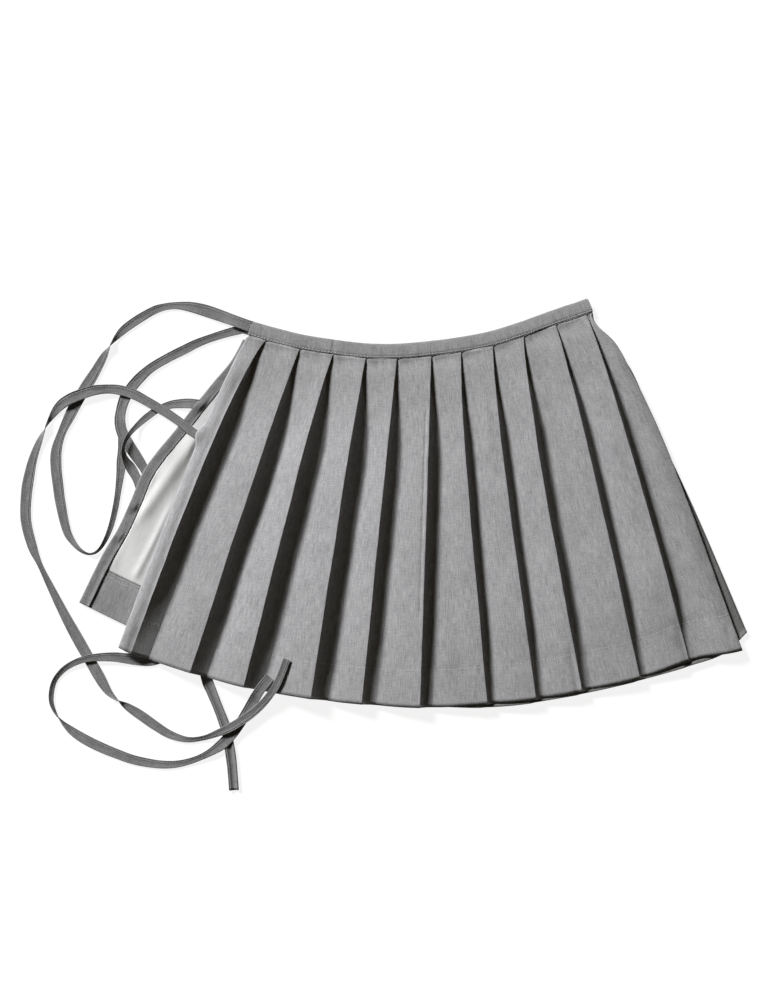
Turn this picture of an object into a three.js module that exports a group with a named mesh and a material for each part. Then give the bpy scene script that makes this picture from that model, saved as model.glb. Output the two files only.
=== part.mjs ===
// A pleated wrap skirt laid flat, face up, with its four ties.
// Millimetres: X to the right, Y from hem to waist, Z up from the surface it lies on.
import * as THREE from 'three';

// Cloth and seams
const CLOTH = 1.2; // wall of one layer of linen
const LINING = 1.0; // wall of the lining
const SEAM_GAP = 0.3; // between neighbouring pieces
const LAY_GAP = 0.45; // between the under panel and what lies on it
const PITCH = CLOTH + SEAM_GAP; // from layer to layer in a closed pleat

// Waistband
const BAND_WIDTH = 16;
const BAND_BOTTOM = 3.0;
const BAND_TOP = 6.0;
const BACK_BAND_TOP = 2.7;
const BAND_CORNER = 0.6;
const BAND_STEPS = 28;
const BACK_BAND_REACH = 5; // how far the under band shows past the front one

// Pleats
const TUCK = 9; // depth that is folded under at the waist
const OPEN_BY = 0.32; // share of the length over which a pleat swings open
const HIGH_BY = 0.55; // share of the length over which a fold reaches its height
const WAIST_BASE = 1.8; // underside of the lowest layer at the waist
const FRONT_BASE = 3.2; // underside of the valleys below the waist
const BASE_RISE = 0.06; // share of the length between those two
const LEFT_BASE = 3.2; // underside of the left edge, over the binding and the lining
const FACE_START = 20; // slope of a pleat face at its valley, degrees
const FACE_END = 5; // slope of a pleat face at its fold, degrees
const WALL_HOLLOW = 16; // how much the turned-under wall is hollowed, degrees
const FOLD_RADIUS = PITCH / 2;

// Outer folds of the front panel from left to right.
// top and hem: ends of the fold line; bow: its sideways bend; open: width of the turned-under
// wall at the hem; height: middle of the wall over the surface at the hem.
// [topX, topY, hemX, hemY, bow, open, height]
const PLEATS = [
  [-161.7, 179.1, -309.8, -165.7, -9.5, 19.0, 12],
  [-124.6, 169.8, -244.5, -186.7, -1.8, 17.6, 12],
  [-87.6, 163.9, -185.6, -202.4, -3.2, 20.0, 13],
  [-51.7, 159.8, -112.0, -215.1, -1.4, 18.5, 14],
  [-17.6, 159.4, -56.1, -221.4, -0.3, 15.0, 13],
  [20.1, 162.5, 7.7, -225.1, 0.3, 13.0, 12],
  [53.5, 166.9, 81.8, -220.4, -3.9, 8.5, 12],
  [88.6, 173.6, 135.6, -214.5, -4.3, 8.5, 13],
  [122.5, 184.1, 185.9, -205.7, -5.2, 10.5, 15],
  [156.8, 196.5, 249.7, -192.2, 2.7, 8.0, 13],
  [190.6, 207.9, 304.4, -174.5, 3.5, 7.0, 12],
];
// Side edges of the front panel, with the same first five columns.
const LEFT_EDGE = [-180.6, 184.6, -324.1, -159.0, -7.0];
const RIGHT_EDGE = [198.4, 210.9, 363.3, -162.1, 15.5];
const RIGHT_HEIGHT = 9; // of the panel's folded right edge
const PLEAT_ROWS = [0, 0.025, 0.045, 0.065, 0.085, 0.12, 0.17, 0.25, 0.35, 0.5, 0.67, 0.84, 1];

// Under panel: outer edge with the binding, right edge and hem, as [x, y].
const UNDER_LEFT = [
  [-185.5, 184.3],
  [-200.5, 157.0],
  [-222.2, 130.9],
  [-256.3, 88.0],
  [-296.5, 36.3],
  [-310.2, 4.8],
  [-324.5, -26.4],
  [-342.5, -56.9],
  [-368.3, -109.5],
];
const UNDER_RIGHT = [
  [198.4, 210.5],
  [218.1, 181.5],
  [238.4, 151.0],
  [265.1, 91.3],
  [310.8, -7.7],
  [339.4, -73.7],
  [368.5, -142.5],
];
const UNDER_HEM = [
  [-368.3, -109.5],
  [-315.7, -135.3],
  [-245.3, -167.2],
  [-168.3, -192.5],
  [-69.3, -214.5],
  [7.7, -223.5],
  [95.7, -224.4],
  [170.5, -213.4],
  [233.9, -199.6],
  [304.7, -179.6],
  [344.9, -165.0],
  [368.5, -142.5],
];
const UNDER_FINE = [0, 8, 19, 32, 48, 66, 86, 108, 130, 155]; // columns in from the bound edge
const UNDER_WIDE = 11; // further columns, evenly spaced
const UNDER_ROWS = 22;
const UNDER_WIDTH = 600; // where the fine columns have their full spacing
const UNDER_TOP_GAP = 0.9; // to the waistband's curved lower edge
const BINDING_WIDTH = 12;
const BINDING_STEPS = 24;
const BINDING_START = 0.04; // shares of the edge's length, from the waist
const LINING_START = 0.085;
const FACING_START = 0.872;
const EDGE_TURN = 2.3; // room for the binding where it turns over the panel's edge
const TUCKED_UNDER = 8; // lining and facing that run on beneath the front edge
const WIDEST_SHOWN = 120; // the under panel never shows further in than this

// The under panel lifts over the hidden stretches of ties B and D, which lie beneath it.
const LIFT = 1.7;
const LIFT_FROM = [-292, 35];
const LIFT_TO = [-250, -195];
const LIFT_NARROW = 19; // half widths at those two ends
const LIFT_WIDE = 38;
const LIFT_FADE = 26;

// Ties: flat strips of the same linen.
const TIE_WALL = 1.2;
const TIE_EDGE = 0.3; // how much the long edges are rounded off
const TIE_CLEAR = 0.05;
// [x, y, height of what the strip lies on, tilt about its length in degrees, width]
const TIE_A = [
  [-178.6, 194.3, 3.9, 0, 12.5],
  [-194.7, 200.2, 3.2, 6, 12.5],
  [-211.2, 206.3, 0.8, 14, 13.5],
  [-228.8, 212.3, 0, 18, 14],
  [-245.3, 216.4, 0, 26, 12.5],
  [-260.7, 217.8, 0, 32, 9.5],
  [-273.9, 216.4, 0, 8, 8],
  [-287.1, 212.0, 0, -24, 10],
  [-306.9, 200.2, 0, -38, 12.5],
  [-321.2, 189.2, 0, -48, 12.5],
  [-332.8, 174.9, 0, -88, 12.5],
  [-341.0, 161.7, 0, -130, 12.5],
  [-350.9, 144.1, 0, -152, 12.5],
  [-360.3, 129.2, 0, -177, 12.5],
  [-368.5, 115.5, 0, -181, 12.5],
  [-376.2, 101.2, 0, -190, 12.5],
  [-387.2, 78.1, 0, -222, 12.5],
  [-393.3, 58.3, 0, -200, 12.5],
  [-393.8, 39.6, 0, -168, 12.5],
  [-391.6, 19.8, 0, -155, 13],
  [-388.9, 0.0, 0, -150, 13],
  [-382.3, -29.7, 0, -138, 12.5],
  [-375.1, -42.9, 0, -122, 12.5],
  [-366.3, -52.3, 0, -108, 12.5],
  [-356.4, -56.4, 0, -100, 12],
  [-347.4, -52.8, 0, -104, 11.5],
  [-339.7, -41.8, 0, -112, 11.5],
  [-333.0, -25.3, 0, -118, 12],
  [-328.2, -5.5, 0, -120, 12.5],
  [-325.0, 14.3, 0, -122, 12.5],
  [-322.3, 36.3, 0, -140, 12.5],
  [-321.2, 49.5, 0, -174, 11],
  [-320.9, 61.6, 0, -180, 9],
  [-321.2, 79.2, 0, -180, 9],
];
const TIE_B = [
  [-186.4, 191.9, 0.3, 0, 9],
  [-203.5, 188.1, 0.1, -32, 11],
  [-224.4, 181.5, 0, -46, 12.5],
  [-238.7, 176.0, 0, -40, 12.5],
  [-251.9, 169.4, 0, -34, 12.5],
  [-269.5, 160.6, 0, -36, 12.5],
  [-288.2, 149.6, 0, -36, 12.5],
  [-301.4, 138.1, 0, -22, 12.5],
  [-311.3, 126.5, 0, -4, 12],
  [-317.9, 115.5, 0, -12, 12.5],
  [-322.0, 102.3, 0.4, -24, 12.5],
  [-323.1, 90.2, 1.6, -14, 12.5],
  [-320.7, 78.1, 1.7, -6, 12.5],
  [-314.1, 65.5, 1.7, -6, 12.5],
  [-306.9, 53.9, 0.8, -12, 12.5],
  [-300.3, 44.0, 0.1, -4, 11],
  [-294.2, 33.0, 0, 0, 10],
  [-281.5, 3.3, 0, 0, 12.5],
  [-269.5, -40.7, 0, 0, 12.5],
  [-255.2, -84.7, 0, 0, 12.5],
  [-242.0, -128.7, 0, 0, 12.5],
  [-233.2, -167.2, 0, 0, 12.5],
  [-227.2, -194.7, 0, 0, 12.5],
  [-222.2, -207.9, 0, -22, 12.5],
  [-212.9, -231.0, 0, -30, 12.5],
  [-206.3, -249.7, 0, -4, 11.5],
  [-202.4, -269.5, 0, -4, 11.5],
  [-199.7, -289.3, 0, -26, 12.5],
  [-197.5, -316.8, 0, -28, 12.5],
];
const TIE_C = [
  [-237.0, 74.3, 4.3, 0, 9],
  [-245.3, 80.3, 3.8, 6, 9.5],
  [-257.4, 89.7, 3.2, 10, 10],
  [-269.5, 98.1, 2.6, 14, 10.5],
  [-281.6, 105.3, 1.9, 18, 11],
  [-293.7, 112.4, 1.7, 18, 11],
  [-306.9, 119.4, 2.0, 14, 11.5],
  [-322.3, 124.3, 1.9, 14, 11.5],
  [-336.6, 125.7, 1.7, 22, 11],
  [-352.0, 124.0, 2.8, 12, 11.5],
  [-366.3, 119.6, 2.3, 4, 12],
  [-377.3, 115.0, 2.8, -12, 12.5],
  [-387.8, 108.4, 2.0, -28, 12.5],
  [-396.0, 99.0, 0.2, -52, 12.5],
  [-404.3, 84.7, 0, -88, 12.5],
  [-412.0, 68.2, 0, -122, 12.5],
  [-419.1, 49.0, 0, -140, 12.5],
  [-423.5, 29.7, 0, -160, 12.5],
  [-426.5, 9.9, 0, -192, 12.5],
  [-427.1, -18.7, 0, -200, 12.5],
  [-420.2, -47.3, 0, -214, 12.5],
  [-411.4, -68.2, 0, -244, 12.5],
  [-399.3, -93.5, 0, -232, 12.5],
  [-383.9, -124.3, 0, -212, 12.5],
  [-368.5, -152.4, 0, -188, 12.5],
  [-357.5, -171.6, 0, -180, 12],
  [-347.6, -189.2, 0, -190, 12.5],
  [-336.6, -207.4, 0, -228, 12.5],
  [-327.2, -216.2, 0, -262, 12.5],
  [-315.7, -224.2, 0, -308, 12.5],
  [-300.3, -234.3, 0, -330, 12.5],
  [-283.8, -245.9, 0, -326, 12.5],
  [-267.3, -255.8, 0, -316, 12.5],
  [-248.6, -261.0, 0, -300, 12.5],
  [-231.0, -259.1, 0.6, -296, 12.5],
  [-216.7, -254.1, 3.6, -308, 12.5],
  [-202.4, -247.8, 5.0, -322, 12],
  [-190.3, -240.7, 4.6, -328, 11.5],
  [-179.3, -233.2, 4.6, -326, 11.5],
  [-167.8, -223.3, 5.0, -318, 12],
  [-157.9, -211.8, 8.0, -314, 12],
  [-149.6, -199.1, 10.0, -314, 12],
  [-143.6, -185.4, 10.6, -312, 12],
  [-138.6, -171.1, 11.0, -312, 12],
];
const TIE_D = [
  [-235.4, 108.4, 3.2, 0, 11],
  [-245.3, 109.7, 2.4, -4, 11],
  [-255.2, 109.7, 0.6, -8, 10.5],
  [-267.3, 108.4, 0, -6, 9],
  [-280.5, 103.6, 0, -2, 7.5],
  [-291.5, 96.5, 0, -16, 8],
  [-302.5, 86.9, 0.9, -48, 9.5],
  [-311.9, 75.9, 4.4, -66, 11],
  [-317.4, 66.0, 4.7, -76, 12],
  [-319.0, 56.1, 4.5, -72, 12.5],
  [-316.2, 47.3, 2.4, -52, 12.5],
  [-310.8, 38.0, 0.2, -20, 12],
  [-303.8, 24.8, 0, 0, 10],
  [-296.5, 3.3, 0, 0, 12.5],
  [-287.1, -35.2, 0, 0, 12.5],
  [-279.4, -79.2, 0, 0, 12.5],
  [-272.8, -117.7, 0, 0, 12.5],
  [-269.5, -144.1, 0, 0, 12.5],
  [-271.2, -160.6, 0, 0, 12.5],
  [-278.3, -170.0, 0, 0, 12.5],
  [-290.4, -173.6, 0, 0, 12.5],
  [-303.6, -173.0, 0.1, -4, 12.5],
  [-317.9, -171.1, 0.9, -22, 12.5],
  [-331.1, -169.7, 1.6, -34, 12.5],
  [-345.4, -170.0, 1.9, -44, 12.5],
  [-357.5, -171.3, 2.0, -52, 12.5],
  [-370.7, -175.1, 1.4, -56, 12.5],
  [-383.9, -182.6, 0.3, -60, 12.5],
  [-393.8, -193.6, 0, -64, 12.5],
  [-398.2, -205.7, 0, -64, 12.5],
  [-398.8, -218.9, 0, -68, 12.5],
  [-394.9, -229.9, 0, -80, 12.5],
  [-387.8, -240.4, 0, -104, 12.5],
  [-376.2, -251.4, 0, -136, 12.5],
  [-361.9, -260.7, 0, -152, 12.5],
  [-344.3, -269.5, 0, -154, 12.5],
  [-326.7, -276.7, 0, -150, 12.5],
  [-310.2, -282.7, 0, -146, 12.5],
  [-293.7, -286.4, 0, -142, 12.5],
  [-277.2, -288.5, 0, -136, 12.5],
  [-261.8, -288.2, 0, -130, 12.5],
  [-246.4, -284.9, 0.2, -124, 12.5],
  [-232.1, -279.4, 0.9, -124, 12.5],
  [-220.0, -272.8, 1.7, -138, 12.5],
  [-209.0, -264.6, 1.9, -166, 12.5],
  [-198.6, -253.6, 1.8, -174, 12],
  [-189.8, -241.5, 1.8, -178, 11.5],
  [-182.1, -228.8, 2.4, -174, 11.5],
  [-174.9, -216.2, 5.4, -164, 12],
  [-167.2, -204.1, 8.8, -158, 12],
  [-156.8, -191.4, 9.4, -156, 12],
];
const TIE_STEPS = 2; // sections between two rows of a tie's table

const LINEN = { color: 0x9a9a9c, roughness: 0.93, metalness: 0 };
const LINING_CLOTH = { color: 0xdcdedd, roughness: 0.85, metalness: 0 };

const mix = (a, b, t) => a + (b - a) * t;
const clamp01 = (t) => Math.min(1, Math.max(0, t));
const radians = (degrees) => (degrees * Math.PI) / 180;
const smooth = (t) => clamp01(t) ** 2 * (3 - 2 * clamp01(t));
const easeOut = (t) => Math.sin((Math.PI / 2) * clamp01(t));

// A closed mesh from stacked rings of [x, y, z], capped at both ends.
function loftRings(rings) {
  const size = rings[0].length;
  const index = [];
  rings.slice(1).forEach((_, row) => {
    for (let i = 0; i < size; i += 1) {
      const a = row * size + i;
      const b = row * size + ((i + 1) % size);
      index.push(a, b, b + size, a, b + size, a + size);
    }
  });
  return closedGeometry(rings.flat(), index.concat(ringCaps(rings.length, size)));
}

// The caps of a loft whose rings run out along one side of the cloth and back along the other.
function ringCaps(count, size) {
  const caps = [];
  const last = (count - 1) * size;
  for (let i = 0; i < size / 2 - 1; i += 1) {
    const j = size - 1 - i;
    caps.push(i, j, j - 1, i, j - 1, i + 1);
    caps.push(last + i, last + i + 1, last + j - 1, last + i, last + j - 1, last + j);
  }
  return caps;
}

function closedGeometry(points, index) {
  const volume = index.reduce((sum, _, k) => {
    if (k % 3) return sum;
    const [a, b, c] = [0, 1, 2].map((j) => new THREE.Vector3(...points[index[k + j]]));
    return sum + a.dot(b.cross(c));
  }, 0);
  if (volume < 0) index.reverse();
  const geometry = new THREE.BufferGeometry();
  geometry.setAttribute('position', new THREE.Float32BufferAttribute(points.flat(), 3));
  geometry.setIndex(index);
  geometry.computeVertexNormals();
  return geometry;
}

// A ring round a layer of cloth from its section: upper points, then lower ones backwards.
const wrapSection = (upper, lower) => [...upper, ...[...lower].reverse()];

function smoothCurve(rows) {
  return new THREE.CatmullRomCurve3(rows.map(([x, y]) => new THREE.Vector3(x, y, 0)));
}

// Waist seam, through the left edge, the tops of the pleats and the right edge.
const SEAM_POINTS = [LEFT_EDGE, ...PLEATS, RIGHT_EDGE].map(([x, y]) => [x, y]);
const seamCurve = smoothCurve(SEAM_POINTS);

// A point beside the waist seam: share of its length, distance towards the waist.
function besideSeam(share, away) {
  const inside = clamp01(share);
  const point = seamCurve.getPointAt(inside);
  const along = seamCurve.getTangentAt(inside);
  const past = (share - inside) * seamCurve.getLength();
  return [point.x + along.x * past - along.y * away, point.y + along.y * past + along.x * away];
}

// Waistband section from its lower to its upper edge, with softened corners.
function bandGeometry(bottom, top, startShare) {
  const soft = BAND_CORNER;
  const low = SEAM_GAP;
  const high = SEAM_GAP + BAND_WIDTH;
  const rings = [];
  for (let i = 0; i <= BAND_STEPS; i += 1) {
    const share = mix(startShare, 1, i / BAND_STEPS);
    const at = (away, z) => [...besideSeam(share, away), z];
    const side = (z, inner) => [at(low, inner), at(low + soft, z), at(high - soft, z), at(high, inner)];
    rings.push(wrapSection(side(top, top - soft), side(bottom, bottom + soft)));
  }
  return loftRings(rings);
}

// A point of a fold or edge line, at a share of the way from waist to hem.
function foldLine([topX, topY, hemX, hemY, bow], share) {
  const bend = bow * Math.sin(Math.PI * share ** 0.6);
  return [mix(topX, hemX, share) + bend, mix(topY, hemY, share)];
}

const FOLD_ROWS = [LEFT_EDGE, ...PLEATS, RIGHT_EDGE];

// One outer fold at a share of the length: its place, direction across, and its sizes there.
function foldState(pleatIndex, share) {
  const place = foldLine(PLEATS[pleatIndex], share);
  const before = foldLine(FOLD_ROWS[pleatIndex], share);
  const after = foldLine(FOLD_ROWS[pleatIndex + 2], share);
  const across = new THREE.Vector2(after[0] - before[0], after[1] - before[1]).normalize();
  const [, , , , , open, height] = PLEATS[pleatIndex];
  const opened = easeOut(share / OPEN_BY);
  const valley = mix(WAIST_BASE, FRONT_BASE, smooth(share / BASE_RISE)) + CLOTH / 2;
  const closedTop = valley + 2 * PITCH;
  return {
    place,
    across: [across.x, across.y],
    opened,
    valley,
    offset: mix(-TUCK, open, opened),
    top: closedTop + (height - FRONT_BASE - CLOTH / 2 - 2 * PITCH) * easeOut(share / HIGH_BY),
  };
}

// A point of the cloth's middle layer: place, horizontal direction and heading (radians).
const clothPoint = (x, y, z, across, heading) => ({ x, y, z, across, heading });

function besideFold(fold, away, z, heading) {
  const [x, y] = fold.place;
  return clothPoint(x + fold.across[0] * away, y + fold.across[1] * away, z, fold.across, heading);
}

// Points round a fold's arc; turn is -1 over an outer fold and +1 through a valley.
function foldArc(fold, centreAway, centreZ, from, to, turn, steps) {
  const points = [];
  for (let i = 0; i <= steps; i += 1) {
    const heading = mix(from, to, i / steps);
    const away = centreAway + turn * FOLD_RADIUS * Math.sin(heading);
    const z = centreZ - turn * FOLD_RADIUS * Math.cos(heading);
    points.push(besideFold(fold, away, z, heading));
  }
  return points;
}

const bezier = (a, b, c, d, t) =>
  a * (1 - t) ** 3 + 3 * b * t * (1 - t) ** 2 + 3 * c * t ** 2 * (1 - t) + d * t ** 3;
const bezierSlope = (a, b, c, d, t) =>
  3 * (b - a) * (1 - t) ** 2 + 6 * (c - b) * t * (1 - t) + 3 * (d - c) * t ** 2;

// Middle points of a smooth stretch of cloth between two cloth points.
function stretch(start, end, steps) {
  const reach = Math.hypot(end.x - start.x, end.y - start.y, end.z - start.z) / 3;
  const handle = (point, sign) => ({
    x: point.x + sign * reach * Math.cos(point.heading) * point.across[0],
    y: point.y + sign * reach * Math.cos(point.heading) * point.across[1],
    z: point.z + sign * reach * Math.sin(point.heading),
  });
  const out = handle(start, 1);
  const into = handle(end, -1);
  const points = [];
  for (let i = 1; i < steps; i += 1) {
    const t = i / steps;
    const place = ['x', 'y', 'z'].map((k) => bezier(start[k], out[k], into[k], end[k], t));
    const slope = ['x', 'y', 'z'].map((k) => bezierSlope(start[k], out[k], into[k], end[k], t));
    const across = [mix(start.across[0], end.across[0], t), mix(start.across[1], end.across[1], t)];
    const along = slope[0] * across[0] + slope[1] * across[1];
    points.push(clothPoint(...place, across, Math.atan2(slope[2], along)));
  }
  return points;
}

// The foot where a face leaves its valley, past anything folded over it.
function faceFoot(fold) {
  const away = Math.max(fold.offset + FOLD_RADIUS + 1, 1.5);
  return besideFold(fold, away, fold.valley, radians(FACE_START) * fold.opened);
}

// The place where a face has reached the height of its fold.
function faceCrest(fold) {
  const away = Math.min(-FOLD_RADIUS - 1, fold.offset - 1);
  const slope = radians(FACE_END) * fold.opened;
  return besideFold(fold, away, fold.top + Math.tan(slope) * (away + FOLD_RADIUS), slope);
}

// Outer fold, turned-under wall and valley of one pleat, down to the foot of the next face.
function pleatSection(fold) {
  const outer = { away: -FOLD_RADIUS, z: fold.top - FOLD_RADIUS };
  const inner = { away: fold.offset + FOLD_RADIUS, z: fold.valley + FOLD_RADIUS };
  const dx = inner.away - outer.away;
  const dz = inner.z - outer.z;
  const wall = Math.atan2(dz, dx) - Math.asin((2 * FOLD_RADIUS) / Math.hypot(dx, dz));
  const heading = wall > 0 ? wall - 2 * Math.PI : wall;
  const hollow = radians(WALL_HOLLOW) * fold.opened;
  const face = radians(FACE_END) * fold.opened;
  const over = foldArc(fold, outer.away, outer.z, face, heading - hollow, -1, 3);
  const under = foldArc(fold, inner.away, inner.z, heading + hollow, 0, 1, 2);
  return [...over, ...stretch(over.at(-1), under[0], 3), ...under, faceFoot(fold)];
}

// The whole front panel's section at a share of the way from waist to hem.
function frontSection(share) {
  const folds = PLEATS.map((_, i) => foldState(i, share));
  const [leftX, leftY] = foldLine(LEFT_EDGE, share);
  const lift = Math.max(liftAt(leftX, leftY), liftAt(leftX + TUCKED_UNDER, leftY));
  const leftZ = LEFT_BASE + CLOTH / 2 + lift;
  const points = [clothPoint(leftX, leftY, leftZ, folds[0].across, radians(4))];
  folds.forEach((fold) => {
    const crest = faceCrest(fold);
    points.push(...stretch(points.at(-1), crest, 4), crest, ...pleatSection(fold));
  });
  return [...points, ...rightEdge(points.at(-1), share, folds.at(-1))];
}

// The last face rolls over the folded right edge, down to the side seam.
function rightEdge(foot, share, lastFold) {
  const [x, y] = foldLine(RIGHT_EDGE, share);
  const top = lastFold.valley + 1.6 + (RIGHT_HEIGHT - FRONT_BASE - 1.6) * easeOut(share / HIGH_BY);
  const { across } = lastFold;
  const at = (away, z, degrees) =>
    clothPoint(x + across[0] * away, y + across[1] * away, z, across, radians(degrees));
  const crest = at(-2.0, top, -12);
  const roll = at(-0.9, top - 0.6, -50);
  return [...stretch(foot, crest, 4), crest, roll, at(-0.6, lastFold.valley, -78)];
}

// Cloth point moved out of the middle layer by a signed distance.
function moved(point, distance) {
  const side = -Math.sin(point.heading) * distance;
  return [
    point.x + point.across[0] * side,
    point.y + point.across[1] * side,
    point.z + Math.cos(point.heading) * distance,
  ];
}

function frontPanelGeometry() {
  const rings = PLEAT_ROWS.map((share) => {
    const section = frontSection(share);
    const upper = section.map((point) => moved(point, CLOTH / 2));
    const lower = section.map((point) => moved(point, -CLOTH / 2));
    return wrapSection(upper, lower);
  });
  return loftRings(rings);
}

// How far everything over the hidden tie stretches is lifted.
function liftAt(x, y) {
  const axis = new THREE.Vector2(LIFT_TO[0] - LIFT_FROM[0], LIFT_TO[1] - LIFT_FROM[1]);
  const length = axis.length();
  axis.normalize();
  const from = new THREE.Vector2(x - LIFT_FROM[0], y - LIFT_FROM[1]);
  const along = from.dot(axis);
  const halfWidth = mix(LIFT_NARROW, LIFT_WIDE, clamp01(along / length));
  const beyond = Math.max(Math.abs(from.cross(axis)) - halfWidth, -along - LIFT_NARROW);
  return LIFT * (1 - smooth(beyond / LIFT_FADE));
}

const underLeft = smoothCurve(UNDER_LEFT);
const underRight = smoothCurve(UNDER_RIGHT);
const underHem = smoothCurve(UNDER_HEM);

// A point of the under panel: distance in from its outer edge, share of the way to the hem.
function underPoint(inward, share) {
  const left = underLeft.getPointAt(share);
  const right = underRight.getPointAt(share);
  const across = clamp01(inward / left.distanceTo(right));
  const corner = [...besideSeam(0, 0), ...besideSeam(1, 0)];
  const [seamX, seamY] = besideSeam(across, 0);
  const hem = underHem.getPointAt(across);
  const hemLeft = underHem.getPointAt(0);
  const hemRight = underHem.getPointAt(1);
  const bendX = seamX - mix(corner[0], corner[2], across);
  const bendY = seamY - mix(corner[1], corner[3], across);
  const hemBendX = hem.x - mix(hemLeft.x, hemRight.x, across);
  const hemBendY = hem.y - mix(hemLeft.y, hemRight.y, across);
  return [
    mix(left.x, right.x, across) + mix(bendX, hemBendX, share),
    mix(left.y, right.y, across) + mix(bendY, hemBendY, share),
  ];
}

function overUnder(inward, share, z) {
  const [x, y] = underPoint(inward, share);
  return [x, y, z + liftAt(x, y)];
}

// Under-panel width in from the outer edge at which the front panel's left edge crosses it.
function frontEdgeInward(share) {
  const step = 0.25;
  let inward = 0;
  while (inward < WIDEST_SHOWN) {
    const [x, y] = underPoint(inward, share);
    const [topY, hemY] = [LEFT_EDGE[1], LEFT_EDGE[3]];
    const [edgeX] = foldLine(LEFT_EDGE, clamp01((topY - y) / (topY - hemY)));
    if (x >= edgeX) return inward;
    inward += step;
  }
  return WIDEST_SHOWN;
}

// A layer lying on the under panel, from rings at evenly spaced shares of its length.
function layerGeometry(from, to, rows, columnsAt, bottom, top) {
  const rings = [];
  for (let i = 0; i <= rows; i += 1) {
    const share = mix(from, to, i / rows);
    const columns = columnsAt(share);
    const upper = columns.map((inward) => overUnder(inward, share, top));
    const lower = columns.map((inward) => overUnder(inward, share, bottom));
    rings.push(wrapSection(upper, lower));
  }
  return loftRings(rings);
}

// Columns of the under panel: fine beside the bound edge, then evenly spaced.
function underColumns(share) {
  const width = underLeft.getPointAt(share).distanceTo(underRight.getPointAt(share));
  const narrowing = Math.min(1, width / UNDER_WIDTH);
  const fine = UNDER_FINE.map((inward) => EDGE_TURN + inward * narrowing);
  const columns = [...fine];
  for (let i = 1; i <= UNDER_WIDE; i += 1) columns.push(mix(fine.at(-1), width, i / UNDER_WIDE));
  return columns;
}

function backPanelGeometry() {
  const start = UNDER_TOP_GAP / underLeft.getLength();
  return layerGeometry(start, 1, UNDER_ROWS, underColumns, 0, CLOTH);
}

// Between the binding and a little way beneath the front panel's left edge.
function besideBinding(share) {
  const from = BINDING_WIDTH + LAY_GAP;
  const to = Math.max(frontEdgeInward(share) + TUCKED_UNDER, from + 2);
  return [0, 0.2, 0.4, 0.6, 0.8, 1].map((t) => mix(from, to, t));
}

function liningGeometry() {
  const end = FACING_START - SEAM_GAP / underLeft.getLength();
  const bottom = CLOTH + LAY_GAP;
  return layerGeometry(LINING_START, end, 18, besideBinding, bottom, bottom + LINING);
}

function facingGeometry() {
  const bottom = CLOTH + LAY_GAP;
  return layerGeometry(FACING_START, 1, 4, besideBinding, bottom, bottom + LINING);
}

// The binding lies on the panel's edge and turns down over it to the surface.
function bindingGeometry() {
  const bottom = CLOTH + LAY_GAP;
  const top = bottom + CLOTH;
  const middle = BINDING_WIDTH / 2;
  const inner = EDGE_TURN - 0.6;
  const foot = 0.1;
  const upper = [[BINDING_WIDTH, top], [middle, top + 0.1], [1.2, top], [0.3, top - 0.7], [0, foot]];
  const flat = [BINDING_WIDTH, middle, EDGE_TURN, inner].map((inward) => [inward, bottom]);
  const lower = [...flat, [inner, foot]];
  const rings = [];
  for (let i = 0; i <= BINDING_STEPS; i += 1) {
    const share = mix(BINDING_START, 1, i / BINDING_STEPS);
    const place = ([inward, z]) => overUnder(inward, share, z);
    rings.push(wrapSection(upper.map(place), lower.map(place)));
  }
  return loftRings(rings);
}

// Smooth rows between the rows of a table, column by column.
function smoothRows(rows, steps) {
  const at = (i, k) => rows[Math.min(rows.length - 1, Math.max(0, i))][k];
  const out = [];
  for (let i = 0; i < rows.length - 1; i += 1) {
    for (let j = 0; j < steps; j += 1) {
      const t = j / steps;
      out.push(rows[0].map((_, k) => {
        const [a, b, c, d] = [at(i - 1, k), at(i, k), at(i + 1, k), at(i + 2, k)];
        const bend = (2 * a - 5 * b + 4 * c - d) * t ** 2 + (3 * b - a - 3 * c + d) * t ** 3;
        return b + 0.5 * ((c - a) * t + bend);
      }));
    }
  }
  return [...out, rows.at(-1)];
}

// A tie: a flat strip along its table, each section standing on what it lies on.
function tieGeometry(rows) {
  const sections = smoothRows(rows, TIE_STEPS);
  const rings = sections.map(([x, y, rest, tilt, width], i) => {
    const before = sections[Math.max(0, i - 1)];
    const after = sections[Math.min(sections.length - 1, i + 1)];
    const along = new THREE.Vector2(after[0] - before[0], after[1] - before[1]).normalize();
    const turn = radians(tilt);
    const half = width / 2;
    const rise = Math.abs(Math.sin(turn)) * half + Math.abs(Math.cos(turn)) * (TIE_WALL / 2);
    const at = (side, up) => {
      const level = side * Math.cos(turn) - up * Math.sin(turn);
      const height = Math.max(rest, 0) + TIE_CLEAR + rise;
      return [
        x - along.y * level,
        y + along.x * level,
        height + side * Math.sin(turn) + up * Math.cos(turn),
      ];
    };
    const wall = TIE_WALL / 2;
    const upper = [at(-half, TIE_EDGE), at(0, wall), at(half, TIE_EDGE)];
    const lower = [at(-half, -TIE_EDGE), at(0, -wall), at(half, -TIE_EDGE)];
    return wrapSection(upper, lower);
  });
  return loftRings(rings);
}

const skirt = new THREE.Group();

function addPiece(name, geometry, cloth) {
  const piece = new THREE.Mesh(geometry, new THREE.MeshStandardMaterial(cloth));
  piece.name = name;
  skirt.add(piece);
}

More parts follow.
